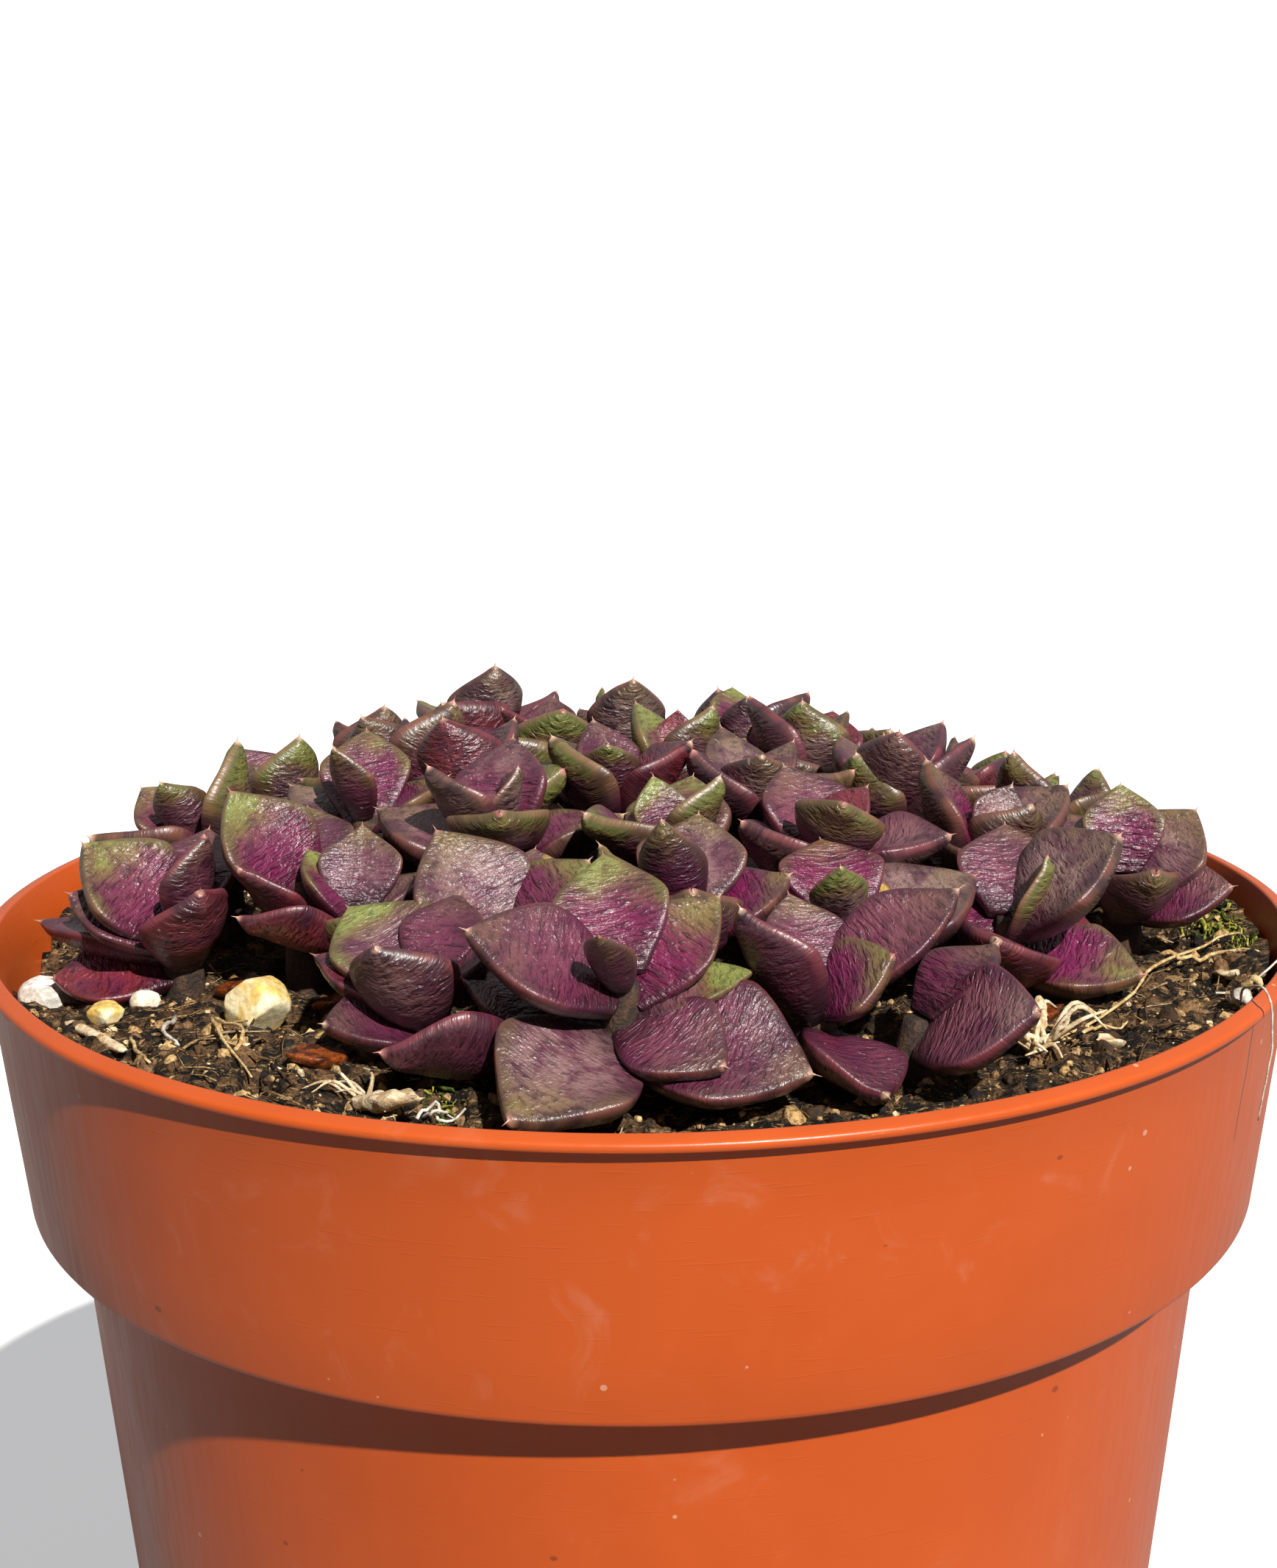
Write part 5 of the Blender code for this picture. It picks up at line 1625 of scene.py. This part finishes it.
def soil_bed():
    """A sheet along the soil's top, with how much of each kind of thing lies on each spot."""
    points, faces, _ = soil_sheet(BED_GRID, collar_radius(SOIL_LEVEL) - WALL - BED_RIM_GAP)
    bed = new_object("bed", points, faces)
    x, y = points[:, 0], points[:, 1]
    front = ease(-y, 5, 32)
    edge = ease(np.hypot(x, y), 30, 40)
    fields = {"open": COVERED_SHARE + (1 - COVERED_SHARE) * np.maximum(front, edge * 0.8)}
    heaps = [np.exp(-(((x - mx) / reach) ** 2) - ((y - my) / reach) ** 2) for mx, my, reach in MOSS]
    fields["moss"] = ease(np.max(heaps, axis=0), 0.3, 0.8)
    for name, values in fields.items():
        layer = bed.data.attributes.new(name, "FLOAT", "POINT")
        layer.data.foreach_set("value", values.astype(np.float32))
    return bed


def ball(subdivisions):
    """Points and faces of a ball of triangles, 1 mm in radius."""
    shape = bmesh.new()
    bmesh.ops.create_icosphere(shape, subdivisions=subdivisions, radius=1.0)
    points = np.array([v.co for v in shape.verts])
    faces = [tuple(v.index for v in face.verts) for face in shape.faces]
    shape.free()
    return points, faces


def crumb_shape():
    """An angular lump of twenty faces, about 1 mm in radius."""
    points, faces = ball(1)
    rng = np.random.default_rng(CRUMB_SEED)
    points = points * rng.uniform(0.7, 1.2, (len(points), 1))
    return new_object("crumb", points * (1, 0.8, 0.7), faces, smooth=False)


def clod_shape():
    """A rough lump of eighty faces, about 1 mm in radius."""
    points, faces = ball(2)
    points *= (1 + 0.45 * rough_noise(points * 1.4 + CLOD_SEED, 2, CLOD_SEED))[:, None]
    return new_object("clod", points * (1, 0.85, 0.65), faces)


def strand_shape(name, length, radius, seed):
    """A thin bent strand lying along X."""
    rng = random.Random(seed)
    route = []
    for share in (0, 0.35, 0.7, 1):
        across, above = rng.uniform(-0.2, 0.2) * length, rng.uniform(0, 0.1) * length
        route.append((length * (share - 0.5), across, above))
    return new_object(name, *strand_mesh(route, (radius, radius, radius * 0.4), sides=3, steps=1))


def strew_soil():
    """Crumbs, fibres and moss on the open soil."""
    tree = scatter_tree()
    bed = soil_bed()
    fibre = strand_shape("fibre", 3.0, 0.07, FIBRE_SEED)
    moss = strand_shape("moss_leaf", 1.0, 0.13, MOSS_SEED)
    shapes = {made.name: made for made in (crumb_shape(), clod_shape(), fibre, moss)}
    for kind in STREWN:
        strew(tree, bed, shapes, kind)
    for made in (bed, *shapes.values()):
        bpy.data.objects.remove(made)


# The studio


def make_floor():
    """Pale paper that throws little of its light back up at the pot."""
    graph, material = start_material("floor_paper")
    tint = graph.noise(graph.add("ShaderNodeTexCoord", out=3), 30.0, 2)
    seen = graph.add("ShaderNodeLightPath", out=CAMERA_RAY)
    mirrored = graph.add("ShaderNodeLightPath", out=GLOSSY_RAY)
    pale = graph.mix(tint, rgb(0.9, 0.9, 0.91), rgb(0.94, 0.94, 0.95))
    dim = graph.mix(mirrored, rgb(0.07, 0.07, 0.07), rgb(0.36, 0.36, 0.36))
    colour = graph.mix(seen, dim, pale)
    roughness = graph.spread(tint, 0, 1, 0.8, 0.9)
    normal = graph.bump(tint, 0.00001)
    finish_material(graph, material, colour, roughness, normal, Emission_Strength=FLOOR_GLOW)
    # Painted light: the paper glows for the camera alone, which keeps its shadow pale.
    glow = graph.mix(seen, rgb(0, 0, 0), rgb(0.97, 0.98, 1.0))
    graph.link(glow, material.node_tree.nodes["Principled BSDF"], "Emission Color")
    corners = [(x * FLOOR_REACH, y * FLOOR_REACH, 0) for x, y in ((-1, -1), (1, -1), (1, 1), (-1, 1))]
    new_object("floor", corners, [(0, 1, 2, 3)], [material], smooth=False)


def light_scene():
    """One hard key from the front right and a plain pale sky."""
    key = bpy.data.lights.new("key", "SUN")
    key.energy = KEY_ENERGY
    key.angle = math.radians(KEY_WIDTH)
    key.color = KEY_COLOUR
    elevation = math.radians(KEY_ELEVATION)
    towards = bearing_vector(KEY_BEARING) * math.cos(elevation) + UP * math.sin(elevation)
    linked("key", key).rotation_euler = towards.to_track_quat("Z", "Y").to_euler()
    world = bpy.data.worlds.new("sky")
    world.use_nodes = True
    graph = Graph(world.node_tree)
    background = world.node_tree.nodes["Background"]
    mirrored = graph.add("ShaderNodeLightPath", out=GLOSSY_RAY)
    strength = graph.add("ShaderNodeMapRange", {"Value": mirrored, 3: SKY_LIGHT, 4: SKY_SHEEN})
    seen = graph.add("ShaderNodeLightPath", out=CAMERA_RAY)
    strength = graph.add("ShaderNodeMapRange", {"Value": seen, 3: strength, 4: SKY_SEEN})
    graph.link(strength, background, "Strength")
    background.inputs["Color"].default_value = rgb(0.98, 0.99, 1.0)
    bpy.context.scene.world = world


def make_camera():
    data = bpy.data.cameras.new("camera")
    data.lens = LENS
    data.sensor_width = SENSOR
    data.clip_start = 0.01
    data.clip_end = 100.0
    camera = linked("camera", data)
    turn = Matrix.Rotation(EYE_YAW, 4, "Z") @ Matrix.Rotation(math.pi / 2 - EYE_PITCH, 4, "X")
    place = Matrix.Translation(Vector(EYE) * MM)
    camera.matrix_world = place @ turn @ Matrix.Rotation(-EYE_ROLL, 4, "Z")
    bpy.context.scene.camera = camera


def main():
    bpy.context.scene.view_settings.view_transform = "Standard"
    nodes = frame["nodes"]
    specks_group()
    skin_group()
    mottle_group()
    flesh = leaf_flesh()
    bark = mottled("stem_bark")
    make_pot(plastic())
    make_soil(earth())
    loose = [name for name in nodes if name.startswith(("stone", "fallen", "straw", "husk"))]
    obstacles = [tree_of_object(nodes[name]) for name in ["pot", "soil"] + loose]
    for index, (crown, axis, placed) in enumerate(grown_mat(obstacles)):
        grown_crown(index, crown, axis, placed, [flesh, bark])
    make_stones(nodes)
    make_litter(nodes)
    make_strands()
    strew_soil()
    make_floor()
    light_scene()
    make_camera()


main()
bpy.context.view_layer.update()
